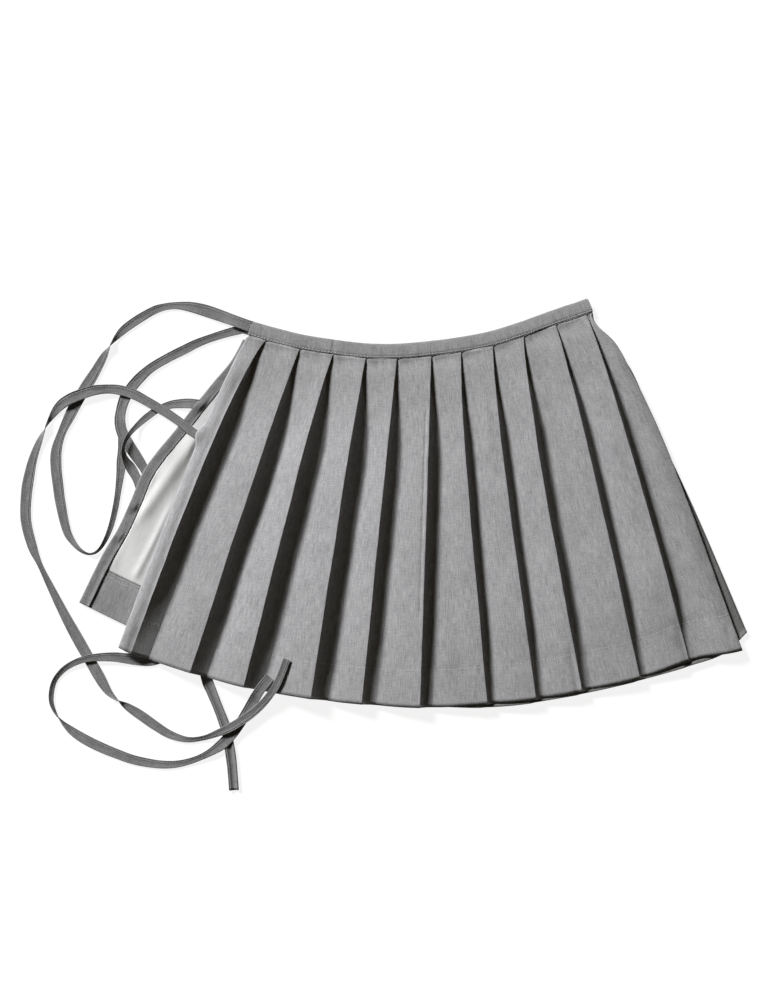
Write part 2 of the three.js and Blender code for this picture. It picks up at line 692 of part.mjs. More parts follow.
addPiece('front_waistband', bandGeometry(BAND_BOTTOM, BAND_TOP, 0), LINEN);
const backBandStart = -BACK_BAND_REACH / seamCurve.getLength();
addPiece('back_waistband', bandGeometry(0, BACK_BAND_TOP, backBandStart), LINEN);
addPiece('front_panel', frontPanelGeometry(), LINEN);
addPiece('back_panel', backPanelGeometry(), LINEN);
addPiece('lining', liningGeometry(), LINING_CLOTH);
addPiece('hem_facing', facingGeometry(), LINEN);
addPiece('edge_binding', bindingGeometry(), LINEN);
addPiece('tie_a', tieGeometry(TIE_A), LINEN);
addPiece('tie_b', tieGeometry(TIE_B), LINEN);
addPiece('tie_c', tieGeometry(TIE_C), LINEN);
addPiece('tie_d', tieGeometry(TIE_D), LINEN);

export default skirt;
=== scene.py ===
"""Looks of the pleated wrap skirt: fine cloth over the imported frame, stitches, materials, light."""
from math import asin, atan2, cos, dist, exp, hypot, pi, radians, sin, tan, tau

import bpy
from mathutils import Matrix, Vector, noise


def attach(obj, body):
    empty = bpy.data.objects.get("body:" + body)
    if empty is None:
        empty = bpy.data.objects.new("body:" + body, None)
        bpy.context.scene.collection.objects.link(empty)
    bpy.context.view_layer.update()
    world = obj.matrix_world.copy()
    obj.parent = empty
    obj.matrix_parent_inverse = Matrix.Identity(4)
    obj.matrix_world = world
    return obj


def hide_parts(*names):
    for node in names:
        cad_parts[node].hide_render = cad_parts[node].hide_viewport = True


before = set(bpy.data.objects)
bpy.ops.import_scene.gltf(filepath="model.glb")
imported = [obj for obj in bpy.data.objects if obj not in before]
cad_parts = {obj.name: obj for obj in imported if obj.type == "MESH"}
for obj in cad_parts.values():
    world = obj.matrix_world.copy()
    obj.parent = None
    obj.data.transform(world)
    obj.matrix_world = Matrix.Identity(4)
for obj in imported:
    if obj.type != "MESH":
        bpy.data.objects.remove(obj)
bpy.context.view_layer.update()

MM = 0.001  # the tables below are in millimetres, as the part's own are; Blender is in metres

# ---- picture
PICTURE_HEIGHT = 1.1  # metres of cloth plane that the picture shows from top to bottom
CAMERA_AT = (-0.0302, 0.0033, 2.0)
CLOTH_PLANE = 0.007  # height at which the picture's scale holds

# ---- cloth and seams
CLOTH = 1.2
LINING = 1.0
SEAM_GAP = 0.3
LAY_GAP = 0.45
SHOWN_CLOTH = 0.6  # the front panel, pressed thin where its pleats lie on each other
PITCH = 0.75  # from the middle of one of its layers to the next

BAND_WIDTH = 16
BAND_BOTTOM = 3.0
BAND_TOP = 6.0
BACK_BAND_TOP = 2.7
BACK_BAND_REACH = 8  # how far each band goes on past the panel at its left end
FRONT_BAND_REACH = 1.6

TUCK = 9  # depth to which a pleat is folded under at the waist
OPEN_BY = 0.32  # shares of the length by which a pleat is open, and at its full height
HIGH_BY = 0.36
WAIST_BASE = 1.8
FRONT_BASE = 3.2
BASE_RISE = 0.06
LEFT_BASE = 3.2
FACE_BOW = 3  # degrees that a face rounds each way from the straight line between its folds
WALL_HOLLOW = 34  # degrees that the hollow wall under a fold rounds each way
FOLD_RADIUS = PITCH / 2

# [topX, topY, hemX, hemY, bow, open, height]
PLEATS = [
    [-161.7, 179.1, -309.8, -165.7, -9.5, 19.0, 12],
    [-124.6, 169.8, -244.5, -186.7, -1.8, 17.6, 12],
    [-87.6, 163.9, -185.6, -202.4, -3.2, 20.0, 13],
    [-51.7, 159.8, -112.0, -215.1, -1.4, 18.5, 14],
    [-17.6, 159.4, -56.1, -221.4, -0.3, 15.0, 13],
    [20.1, 162.5, 7.7, -225.1, 0.3, 13.0, 12],
    [53.5, 166.9, 81.8, -221.4, -3.9, 8.5, 12],
    [88.6, 173.6, 135.6, -216.3, -4.3, 8.5, 13],
    [122.5, 184.1, 185.9, -207.7, -5.2, 10.5, 15],
    [156.8, 196.5, 249.7, -193.4, 2.7, 8.0, 13],
    [190.6, 207.9, 304.4, -174.5, 3.5, 7.0, 12],
]
# How much higher than in the solid each fold stands, and how much it sinks again at the hem (mm).
SHOWN_RISE = [2.9, 2.7, 3.2, 2.3, 0.9, 1.9, 0.2, -0.6, -1.4, 0.5, 1.6]
HEM_DROP = [5.0, 1.8, 2.2, 1.2, 2.4, 2.4, 2.6, 3.2, 4.4, 5.0, 6.4]
LEFT_EDGE = [-180.6, 184.6, -324.1, -159.0, -7.0]
RIGHT_EDGE = [198.4, 210.9, 363.3, -162.1, 15.5]
RIGHT_HEIGHT = 6.4
FOLD_ROWS = [LEFT_EDGE, *PLEATS, RIGHT_EDGE]

UNDER_LEFT = [
    [-185.5, 184.3], [-200.5, 157.0], [-222.2, 130.9], [-256.3, 88.0], [-296.5, 36.3],
    [-310.2, 4.8], [-324.5, -26.4], [-342.5, -56.9], [-368.3, -109.5],
]
UNDER_RIGHT = [
    [198.4, 210.5], [201.5, 196.0], [214.5, 179.0], [238.4, 151.0], [265.1, 91.3], [310.8, -7.7],
    [339.4, -73.7], [368.5, -142.5],
]
UNDER_HEM = [
    [-368.3, -109.5], [-315.7, -135.3], [-245.3, -167.2], [-168.3, -192.5], [-69.3, -214.5],
    [7.7, -223.5], [95.7, -224.4], [170.5, -213.4], [233.9, -199.6], [304.7, -179.6],
    [344.9, -165.0], [368.5, -142.5],
]
BINDING_WIDTH = 12
BINDING_START = 0.012  # shares of the left edge at which the pieces along it start
LINING_START = 0.085
FACING_START = 0.872
EDGE_TURN = 2.3
TUCKED_UNDER = 8
WIDEST_SHOWN = 120

LIFT = 1.7  # mm that the under panel rises over ties B and D, which pass beneath it
LIFT_FROM = [-292, 35]
LIFT_TO = [-250, -195]
LIFT_NARROW = 19  # half width of that rise at its two ends, and of the slope beside it
LIFT_WIDE = 38
LIFT_FADE = 26

# ---- ties
TIE_WALL = 1.2
TIE_WIDTH = 12.5
TIE_CLEAR = 0.05
TIE_STEP = 6  # sections between two rows of a route
# Routes: [x, y, height of what the strip lies on, tilt about its length in degrees, width];
# a row without a width has TIE_WIDTH.
TIE_A = [
    [-178.6, 194.3, 3.9, 0],
    [-194.7, 200.2, 3.2, 6],
    [-211.2, 206.3, 0.8, 14, 13.5],
    [-228.8, 212.3, 0, 18, 14],
    [-245.3, 216.4, 0, 26],
    [-260.7, 217.8, 0, 32, 9.5],
    [-273.9, 216.4, 0, 8, 8],
    [-287.1, 212.0, 0, -24, 10],
    [-306.9, 200.2, 0, -38],
    [-321.2, 189.2, 0, -48],
    [-332.8, 174.9, 0, -88],
    [-341.0, 161.7, 0, -130],
    [-350.9, 144.1, 0, -152],
    [-360.3, 129.2, 0, -177],
    [-368.5, 115.5, 0, -181],
    [-376.2, 101.2, 0, -190],
    [-387.2, 78.1, 0, -222],
    [-393.3, 58.3, 0, -200],
    [-393.8, 39.6, 0, -168],
    [-391.6, 19.8, 0, -155, 13],
    [-388.9, 0.0, 0, -150, 13],
    [-382.3, -29.7, 0, -138],
    [-375.1, -42.9, 0, -122],
    [-366.3, -52.3, 0, -108],
    [-356.4, -56.4, 0, -100, 12],
    [-347.4, -52.8, 0, -104, 11.5],
    [-339.7, -41.8, 0, -112, 11.5],
    [-333.0, -25.3, 0, -118, 12],
    [-328.2, -5.5, 0, -120],
    [-325.0, 14.3, 0, -122],
    [-322.3, 36.3, 0, -140],
    [-321.2, 49.5, 0, -174, 11],
    [-320.9, 61.6, 0, -180, 9],
    [-321.2, 79.2, 0, -180, 9],
]
TIE_B = [
    [-186.4, 191.9, 0.3, 0, 9],
    [-203.5, 188.1, 0.1, -32, 11],
    [-224.4, 181.5, 0, -46],
    [-238.7, 176.0, 0, -40],
    [-251.9, 169.4, 0, -34],
    [-269.5, 160.6, 0, -36],
    [-288.2, 149.6, 0, -36],
    [-301.4, 138.1, 0, -22],
    [-311.3, 126.5, 0, -4, 12],
    [-317.9, 115.5, 0, -12],
    [-322.0, 102.3, 0.4, -24],
    [-323.1, 90.2, 1.6, -14],
    [-320.7, 78.1, 1.7, -6],
    [-314.1, 65.5, 1.7, -6],
    [-306.9, 53.9, 0.8, -12],
    [-300.3, 44.0, 0.1, -4, 11],
    [-294.2, 33.0, 0, 0, 10],
    [-281.5, 3.3, 0, 0],
    [-269.5, -40.7, 0, 0],
    [-255.2, -84.7, 0, 0],
    [-242.0, -128.7, 0, 0],
    [-233.2, -167.2, 0, 0],
    [-227.2, -194.7, 0, 0],
    [-222.2, -207.9, 0, -22],
    [-212.9, -231.0, 0, -30],
    [-206.3, -249.7, 0, -4, 11.5],
    [-202.4, -269.5, 0, -4, 11.5],
    [-199.7, -289.3, 0, -26],
    [-197.5, -316.8, 0, -28],
]
TIE_C = [
    [-237.0, 74.3, 4.3, 0, 9],
    [-245.3, 80.3, 3.8, 6, 9.5],
    [-257.4, 89.7, 3.2, 10, 10],
    [-269.5, 98.1, 2.6, 14, 10.5],
    [-281.6, 105.3, 1.9, 18, 11],
    [-293.7, 112.4, 1.7, 18, 11],
    [-306.9, 119.4, 2.0, 14, 11.5],
    [-322.3, 124.3, 1.9, 14, 11.5],
    [-336.6, 125.7, 1.7, 22, 11],
    [-352.0, 124.0, 2.8, 12, 11.5],
    [-366.3, 119.6, 2.3, 4, 12],
    [-377.3, 115.0, 2.8, -12],
    [-387.8, 108.4, 2.0, -28],
    [-396.0, 99.0, 0.2, -52],
    [-404.3, 84.7, 0, -88],
    [-412.0, 68.2, 0, -122],
    [-419.1, 49.0, 0, -140],
    [-423.5, 29.7, 0, -160],
    [-426.5, 9.9, 0, -192],
    [-427.1, -18.7, 0, -200],
    [-420.2, -47.3, 0, -214],
    [-411.4, -68.2, 0, -244],
    [-399.3, -93.5, 0, -232],
    [-383.9, -124.3, 0, -212],
    [-368.5, -152.4, 0, -188],
    [-357.5, -171.6, 0, -180, 12],
    [-347.6, -189.2, 0, -190],
    [-336.6, -207.4, 0, -228],
    [-327.2, -216.2, 0, -262],
    [-315.7, -224.2, 0, -308],
    [-300.3, -234.3, 0, -330],
    [-283.8, -245.9, 0, -326],
    [-267.3, -255.8, 0, -316],
    [-248.6, -261.0, 0, -300],
    [-231.0, -259.1, 0.6, -296],
    [-216.7, -254.1, 3.6, -308],
    [-202.4, -247.8, 5.0, -322, 12],
    [-190.3, -240.7, 4.6, -328, 11.5],
    [-179.3, -233.2, 4.6, -326, 11.5],
    [-167.8, -223.3, 5.0, -318, 12],
    [-157.9, -211.8, 8.0, -314, 12],
    [-149.6, -199.1, 10.0, -314, 12],
    [-143.6, -185.4, 10.6, -312, 12],
    [-138.6, -171.1, 11.0, -312, 12],
]
TIE_D = [
    [-235.4, 108.4, 3.2, 0, 11],
    [-245.3, 109.7, 2.4, -4, 11],
    [-255.2, 109.7, 0.6, -8, 10.5],
    [-267.3, 108.4, 0, -6, 9],
    [-280.5, 103.6, 0, -2, 7.5],
    [-291.5, 96.5, 0, -16, 8],
    [-302.5, 86.9, 0.9, -48, 9.5],
    [-311.9, 75.9, 4.4, -66, 11],
    [-317.4, 66.0, 4.7, -76, 12],
    [-319.0, 56.1, 4.5, -72],
    [-316.2, 47.3, 2.4, -52],
    [-310.8, 38.0, 0.2, -20, 12],
    [-303.8, 24.8, 0, 0, 10],
    [-296.5, 3.3, 0, 0],
    [-287.1, -35.2, 0, 0],
    [-279.4, -79.2, 0, 0],
    [-272.8, -117.7, 0, 0],
    [-269.5, -144.1, 0, 0],
    [-271.2, -160.6, 0, 0],
    [-278.3, -170.0, 0, 0],
    [-290.4, -173.6, 0, 0],
    [-303.6, -173.0, 0.1, -4],
    [-317.9, -171.1, 0.9, -22],
    [-331.1, -169.7, 1.6, -34],
    [-345.4, -170.0, 1.9, -44],
    [-357.5, -171.3, 2.0, -52],
    [-370.7, -175.1, 1.4, -56],
    [-383.9, -182.6, 0.3, -60],
    [-393.8, -193.6, 0, -64],
    [-398.2, -205.7, 0, -64],
    [-398.8, -218.9, 0, -68],
    [-394.9, -229.9, 0, -80],
    [-387.8, -240.4, 0, -104],
    [-376.2, -251.4, 0, -136],
    [-361.9, -260.7, 0, -152],
    [-344.3, -269.5, 0, -154],
    [-326.7, -276.7, 0, -150],
    [-310.2, -282.7, 0, -146],
    [-293.7, -286.4, 0, -142],
    [-277.2, -288.5, 0, -136],
    [-261.8, -288.2, 0, -130],
    [-246.4, -284.9, 0.2, -124],
    [-232.1, -279.4, 0.9, -124],
    [-220.0, -272.8, 1.7, -138],
    [-209.0, -264.6, 1.9, -166],
    [-198.6, -253.6, 1.8, -174, 12],
    [-189.8, -241.5, 1.8, -178, 11.5],
    [-182.1, -228.8, 2.4, -174, 11.5],
    [-174.9, -216.2, 5.4, -164, 12],
    [-167.2, -204.1, 8.8, -158, 12],
    [-156.8, -191.4, 9.4, -156, 12],
]


# ---- small helpers
def mix(a, b, t):
    return a + (b - a) * t


def evenly(start, end, steps):
    return [mix(start, end, i / steps) for i in range(steps + 1)]


def clamp(t):
    return min(1.0, max(0.0, t))


def smooth(t):
    t = clamp(t)
    return t * t * (3 - 2 * t)


def rising(value, start, over):
    """0 as far as the start, then a soft rise to 1."""
    return smooth((value - start) / over)


def ease_out(t):
    return sin(pi / 2 * clamp(t))


def bump(distance, width):
    """A soft rounded hill: 1 at no distance, close to 0 past the width."""
    return exp(-((distance / width) ** 2))


def ripple(x, y, size, seed):
    """Smooth unevenness between about -1 and 1, with features of the given size in mm."""
    return noise.noise(Vector((x / size, y / size, seed)))


def ripples(table, x, y):
    """Unevenness in mm from rows of [height, size, seed]."""
    return sum(height * ripple(x, y, size, seed) for height, size, seed in table)


# ---- camera
def make_camera():
    data = bpy.data.cameras.new("camera")
    distance = CAMERA_AT[2] - CLOTH_PLANE
    data.lens = data.sensor_width * distance / PICTURE_HEIGHT
    camera = bpy.data.objects.new("camera", data)
    camera.location = CAMERA_AT
    bpy.context.collection.objects.link(camera)
    bpy.context.scene.camera = camera


# ---- mesh making
def make_object(name, verts, faces, material, uvs=None, rims=0):
    """A mesh in mm; as many of its last faces as rims says are shaded flat, so edges stay crisp."""
    mesh = bpy.data.meshes.new(name)
    mesh.from_pydata([[c * MM for c in v] for v in verts], [], faces)
    if uvs:
        layer = mesh.uv_layers.new(name="cloth")
        for loop in mesh.loops:
            layer.data[loop.index].uv = uvs[loop.vertex_index]
    mesh.polygons.foreach_set("use_smooth", [i < len(faces) - rims for i in range(len(faces))])
    mesh.materials.append(material)
    mesh.update()
    obj = bpy.data.objects.new(name, mesh)
    bpy.context.collection.objects.link(obj)
    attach(obj, "root")
    return obj


def shell(name, grid, material):
    """A closed layer of cloth from a grid of (upper point, lower point, metres along the cloth)."""
    rows, cols = len(grid), len(grid[0])
    upper, lower, uvs = ([p[k] for row in grid for p in row] for k in range(3))
    half = rows * cols
    at = lambda r, c: r * cols + c
    faces, rims = [], []
    for r in range(rows - 1):
        for c in range(cols - 1):
            a, b, d, e = at(r, c), at(r, c + 1), at(r + 1, c + 1), at(r + 1, c)
            faces.append((a, e, d, b))
            faces.append((half + a, half + b, half + d, half + e))
        rims.append((at(r, 0), half + at(r, 0), half + at(r + 1, 0), at(r + 1, 0)))
        last = cols - 1
        rims.append((at(r + 1, last), half + at(r + 1, last), half + at(r, last), at(r, last)))
    for c in range(cols - 1):
        rims.append((at(0, c), at(0, c + 1), half + at(0, c + 1), half + at(0, c)))
        last = rows - 1
        rims.append((at(last, c + 1), at(last, c), half + at(last, c), half + at(last, c + 1)))
    return make_object(name, upper + lower, faces + rims, material, uvs * 2, len(rims))


def loft(name, rings, material, uvs):
    """A closed body through rings of points, its ends closed by one face each."""
    size = len(rings[0])
    verts = [p for ring in rings for p in ring]
    faces = []
    for r in range(len(rings) - 1):
        for i in range(size):
            j = (i + 1) % size
            faces.append((r * size + i, r * size + j, (r + 1) * size + j, (r + 1) * size + i))
    faces.append(tuple(reversed(range(size))))
    faces.append(tuple(range((len(rings) - 1) * size, len(rings) * size)))
    return make_object(name, verts, faces, material, [p for row in uvs for p in row], 2)


SHORTEST_STITCH = 0.3  # share of its length under which a stitch in a tight bend is left out
STEEPEST_STITCH = 0.9  # how far a stitch may point out of the cloth
STITCH_SIDES = 6
STITCH_RINGS = [[0.0, -1.0], [0.2, 0.6], [0.8, 0.6], [1.0, -1.0]]  # share of the stitch, height


def thread_dashes(name, seams, material, length, gap, radius, proud=0.12):
    """Running stitches along seams; each seam is a list of (point, normal) in mm."""
    verts, faces = [], []
    for seam in seams:
        points = [Vector(point) for point, _ in seam]
        reach = [0.0]
        for p, q in zip(points, points[1:]):
            reach.append(reach[-1] + (q - p).length)
        start, i = 0.5 * gap, 0
        while start + length < reach[-1]:
            while reach[i + 1] < start:
                i += 1
            j = i
            while reach[j + 1] < start + length:
                j += 1
            first = points[i].lerp(points[i + 1], (start - reach[i]) / (reach[i + 1] - reach[i]))
            over = (start + length - reach[j]) / (reach[j + 1] - reach[j])
            last = points[j].lerp(points[j + 1], over)
            normal = Vector(seam[i][1]).normalized()
            along = last - first
            steep = abs(along.normalized().dot(normal))
            if along.length > SHORTEST_STITCH * length and steep < STEEPEST_STITCH:
                add_dash(verts, faces, first, along, normal, radius, proud)
            start += length + gap
    make_object(name, verts, faces, material)


def add_dash(verts, faces, start, along, normal, radius, proud):
    """One stitch: a thread that dips into the cloth at both ends."""
    length, along = along.length, along.normalized()
    side, sides = along.cross(normal).normalized(), STITCH_SIDES
    base = len(verts)
    for share, lift in STITCH_RINGS:
        centre = start + along * length * share + normal * (proud * lift)
        for k in range(sides):
            turn = tau * k / sides
            verts.append(tuple(centre + side * radius * cos(turn) + normal * radius * sin(turn)))
    last = base + (len(STITCH_RINGS) - 1) * sides
    for ring in range(base, last, sides):
        for k in range(sides):
            a, b = ring + k, ring + (k + 1) % sides
            faces.append((a, b, b + sides, a + sides))
    faces.append(tuple(base + k for k in reversed(range(sides))))
    faces.append(tuple(last + k for k in range(sides)))


# ---- smooth curves
class SmoothCurve:
    """A centripetal Catmull-Rom curve through [x, y] points, read by share of its length."""

    def __init__(self, points, samples=400):
        first = [2 * points[0][k] - points[1][k] for k in (0, 1)]
        last = [2 * points[-1][k] - points[-2][k] for k in (0, 1)]
        self.rows = [first, *points, last]
        self.line = [self._raw(i / samples) for i in range(samples + 1)]
        self.reach = [0.0]
        for p, q in zip(self.line, self.line[1:]):
            self.reach.append(self.reach[-1] + dist(q, p))
        self.length = self.reach[-1]

    def _raw(self, t):
        spans = len(self.rows) - 3
        i = min(int(t * spans), spans - 1)
        w = t * spans - i
        p = self.rows[i:i + 4]
        dt = [max(dist(b, a), 1e-6) ** 0.5 for a, b in zip(p, p[1:])]
        out = []
        for k in (0, 1):
            x0, x1, x2, x3 = (q[k] for q in p)
            t1 = ((x1 - x0) / dt[0] - (x2 - x0) / (dt[0] + dt[1]) + (x2 - x1) / dt[1]) * dt[1]
            t2 = ((x2 - x1) / dt[1] - (x3 - x1) / (dt[1] + dt[2]) + (x3 - x2) / dt[2]) * dt[1]
            c2 = -3 * x1 + 3 * x2 - 2 * t1 - t2
            c3 = 2 * x1 - 2 * x2 + t1 + t2
            out.append(x1 + t1 * w + c2 * w * w + c3 * w ** 3)
        return out

    def at(self, share):
        goal = clamp(share) * self.length
        low, high = 0, len(self.reach) - 1
        while high - low > 1:
            middle = (low + high) // 2
            low, high = (middle, high) if self.reach[middle] <= goal else (low, middle)
        span = self.reach[high] - self.reach[low]
        t = (goal - self.reach[low]) / span if span else 0.0
        return [mix(self.line[low][k], self.line[high][k], t) for k in (0, 1)]

    def along(self, share):
        a, b = self.at(clamp(share) - 0.004), self.at(clamp(share) + 0.004)
        size = dist(b, a)
        return [(b[0] - a[0]) / size, (b[1] - a[1]) / size]


def smooth_rows(rows, steps):
    """Rows between the rows of a route, column by column."""
    out = []
    for i in range(len(rows) - 1):
        a, b = rows[max(0, i - 1)], rows[i]
        c, d = rows[i + 1], rows[min(len(rows) - 1, i + 2)]
        for j in range(steps):
            t = j / steps
            out.append([
                q + 0.5 * ((r - p) * t + (2 * p - 5 * q + 4 * r - s) * t * t
                           + (3 * q - p - 3 * r + s) * t ** 3)
                for p, q, r, s in zip(a, b, c, d)
            ])
    return out + [rows[-1]]


seam_curve = SmoothCurve([row[:2] for row in FOLD_ROWS])
under_left = SmoothCurve(UNDER_LEFT)
under_right = SmoothCurve(UNDER_RIGHT)
under_hem = SmoothCurve(UNDER_HEM)


def beside_seam(share, away):
    """A point beside the waist seam: share of its length, distance towards the waist."""
    inside = clamp(share)
    x, y = seam_curve.at(inside)
    ax, ay = seam_curve.along(inside)
    past = (share - inside) * seam_curve.length
    return [x + ax * past - ay * away, y + ay * past + ax * away]


# ---- ties
SETTLING = 0.46  # how far a tilted strip lies down again: 0 leaves its tilt, 0.5 is the most
EDGE_ON = 0.03  # what an upright strip still shows, as a share of its width


def settled(tilt, width):
    """A strip lies flatter than its route's tilt, and narrower, so that it shows just as wide."""
    turn = radians(tilt)
    flat = turn - SETTLING * sin(2 * turn)
    flat -= SETTLING * sin(2 * flat)
    return flat, width * (abs(cos(turn)) + EDGE_ON) / (abs(cos(flat)) + EDGE_ON)


def tie_frame(sections, i):
    """Middle of a tie's section, its directions across and out of the strip, and half its width."""
    x, y, rest, tilt, width = sections[i]
    before, after = sections[max(0, i - 1)], sections[min(len(sections) - 1, i + 1)]
    along = Vector((after[0] - before[0], after[1] - before[1], 0)).normalized()
    turn, width = settled(tilt, width)
    rise = abs(sin(turn)) * width / 2 + abs(cos(turn)) * TIE_WALL / 2
    level = Vector((-along.y, along.x, 0))
    up = Vector((0, 0, 1))
    across = level * cos(turn) + up * sin(turn)
    out = up * cos(turn) - level * sin(turn)
    return Vector((x, y, max(rest, 0) + TIE_CLEAR + rise)), across, out, width / 2


# A tie's section: share of the half width, height of the side that shows over the middle (mm).
# The first edge is turned in twice and stitched, which leaves two lips; the last is a plain fold.
TIE_SECTION = [
    (-1.0, 0.0), (-0.98, 0.55), (-0.90, 0.85), (-0.82, 0.7), (-0.75, 0.3), (-0.69, 0.25),
    (-0.62, 0.55), (-0.53, 0.7), (-0.44, 0.5), (-0.36, 0.34), (-0.1, 0.3), (0.2, 0.34),
    (0.5, 0.42), (0.72, 0.55), (0.9, 0.72), (0.98, 0.5), (1.0, 0.0),
]
TIE_FLAT_SIDE = 0.6  # half the strip's thickness, on the side that lies down
TIE_STITCH_AT = -0.34
TIE_STITCH_HEIGHT = 0.34
TIE_EDGE = 12  # how steeply the unevenness starts from the strip's edges
TIE_SWAY = [0.35, 14]  # [height, size]: the middle up and down, the strip's roll, and its crumples
TIE_ROLL = [0.9, 45]
TIE_CRUMPLE = [0.14, 5]
TIE_GROOVE = 1.3
GROOVE_AT = [0.15, 0.45]  # middle and half width of the groove, as shares of the half width
GROOVE_EASE = 20  # mm over which it starts
UNDERSIDE_WEAVE = 30  # mm from a strip's upper side to its underside in the weave
TIE_HALF = 6  # half width below which the strip is crumpled, so its edges stand less


def make_tie(name, route, length, material, seed, grooved=0.0):
    """One tie; its last stretch, as many mm as grooved says, lies as a half open tube."""
    sections = smooth_rows([[*row, TIE_WIDTH][:5] for row in route], TIE_STEP)
    rings, uvs, path, seam = [], [], [], []
    travelled = 0.0
    for i in range(len(sections)):
        middle, across, out, half = tie_frame(sections, i)
        if path:
            travelled += (middle - Vector(path[-1])).length
        path.append(tuple(middle))
        stands = min(1.0, half / TIE_HALF)
        sway = TIE_SWAY[0] * ripple(travelled, 0, TIE_SWAY[1], seed)
        begun = (travelled - (length / MM - grooved)) / GROOVE_EASE
        groove = TIE_GROOVE * smooth(begun) if grooved else 0.0
        top, bottom = [], []
        for side, height in TIE_SECTION:
            edge = min(1.0, TIE_EDGE * (1 - abs(side)))
            roll = TIE_ROLL[0] * side * ripple(travelled, 5, TIE_ROLL[1], seed + 8)
            crumple = TIE_CRUMPLE[0] * ripple(travelled, side * 12, TIE_CRUMPLE[1], seed + 3)
            wavy = sway * (1 - side * side) + roll + crumple
            hollow = groove * (1 - bump(side - GROOVE_AT[0], GROOVE_AT[1]))
            shown = (height + (wavy + hollow) * edge) * stands
            flat = TIE_FLAT_SIDE * edge
            place = middle + across * (side * half)
            top.append(place + out * mix(flat, shown, smooth(out.z + 0.5)))
            bottom.append(place - out * mix(flat, shown, smooth(0.5 - out.z)))
        ring = top + bottom[-2:0:-1]
        rings.append([tuple(p) for p in ring])
        girth = [side * half for side, _ in TIE_SECTION]
        girth += [UNDERSIDE_WEAVE - g for g in girth[-2:0:-1]]
        uvs.append([(g * MM, travelled * MM) for g in girth])
        facing = 1 if out.z > 0 else -1
        stitch = middle + across * (TIE_STITCH_AT * half)
        stitch += out * facing * TIE_STITCH_HEIGHT * stands
        seam.append((tuple(stitch), tuple(out * facing)))
    tie = loft(name, rings, material, uvs)
    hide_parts(name)
    points = [[c * MM for c in p] for p in path]
    start = points[0]
    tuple(start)
    return seam


# ---- front panel
# The right edge is drawn in below the band: mm, share of the length where, share where it starts.
SHOULDER = [8.5, 0.036, 0.01]
BOW_HIGH = 0.6  # below 1, a fold's bow is strongest above the middle of its length


def fold_line(row, share):
    top_x, top_y, hem_x, hem_y, bow = row[:5]
    bend = bow * sin(pi * share ** BOW_HIGH)
    if row is RIGHT_EDGE:
        drawn, at, free = SHOULDER
        bend -= drawn * (bump(share - at, at) - (1 - smooth(share / free)) * exp(-1))
    return [mix(top_x, hem_x, share) + bend, mix(top_y, hem_y, share)]


FOLDS_SINK = [0.74, 0.26]  # shares of the length from which, and over which, they sink to the hem
STRAIGHT_PLEATS = 5  # so many walls from the left, the first the most, are straight at the hem


def fold_state(index, share):
    before, after = fold_line(FOLD_ROWS[index], share), fold_line(FOLD_ROWS[index + 2], share)
    size = dist(after, before)
    opened = ease_out(share / OPEN_BY)
    valley = mix(WAIST_BASE, FRONT_BASE, smooth(share / BASE_RISE)) + CLOTH / 2
    spread, height = PLEATS[index][5:7]
    sunk = HEM_DROP[index] * rising(share, *FOLDS_SINK)
    shown = height + SHOWN_RISE[index] - sunk
    straight = 1 - index / STRAIGHT_PLEATS if index < STRAIGHT_PLEATS else 0
    rise = (shown - FRONT_BASE - CLOTH / 2 - 2 * PITCH) * ease_out(share / HIGH_BY)
    return {
        "place": fold_line(PLEATS[index], share),
        "across": [(after[0] - before[0]) / size, (after[1] - before[1]) / size],
        "opened": opened,
        "valley": valley,
        "offset": mix(-TUCK, spread, opened),
        "top": valley + 2 * PITCH + rise,
        "hollow": 1 - rising(share, 0.5, 0.5) * straight,
    }


def beside_fold(fold, away, z, heading):
    x, y = fold["place"]
    ax, ay = fold["across"]
    return [x + ax * away, y + ay * away, z, (ax, ay), heading]


def fold_arc(fold, away, z, start, end, turn, steps):
    points = []
    for i in range(steps + 1):
        heading = mix(start, end, i / steps)
        side = away + turn * FOLD_RADIUS * sin(heading)
        points.append(beside_fold(fold, side, z - turn * FOLD_RADIUS * cos(heading), heading))
    return points


def stretch(start, end, steps, bias=1.0):
    """Points of a smooth stretch between two cloth points; a bias crowds them at its end."""
    reach = dist(end[:3], start[:3]) / 3

    def handle(point, sign):
        level = sign * reach * cos(point[4])
        return [point[0] + level * point[3][0], point[1] + level * point[3][1],
                point[2] + sign * reach * sin(point[4])]

    out, into = handle(start, 1), handle(end, -1)
    points = []
    for i in range(1, steps):
        t = 1 - (1 - i / steps) ** bias
        weights = ((1 - t) ** 3, 3 * t * (1 - t) ** 2, 3 * t * t * (1 - t), t ** 3)
        corners = (start, out, into, end)
        place = [sum(w * c[k] for w, c in zip(weights, corners)) for k in range(3)]
        slopes = (3 * (1 - t) ** 2, 6 * t * (1 - t), 3 * t * t)
        legs = list(zip(slopes, corners, corners[1:]))
        slope = [sum(w * (b[k] - a[k]) for w, a, b in legs) for k in range(3)]
        across = (mix(start[3][0], end[3][0], t), mix(start[3][1], end[3][1], t))
        along = slope[0] * across[0] + slope[1] * across[1]
        points.append([*place, across, atan2(slope[2], along)])
    return points


def face_foot(fold):
    away = max(fold["offset"] + FOLD_RADIUS + 1, 1.5)
    return beside_fold(fold, away, fold["valley"], 0)


def face_crest(fold):
    away = min(-FOLD_RADIUS - 1, fold["offset"] - 1)
    slope = fold["slope"]
    return beside_fold(fold, away, fold["top"] + tan(slope) * (away + FOLD_RADIUS), slope)


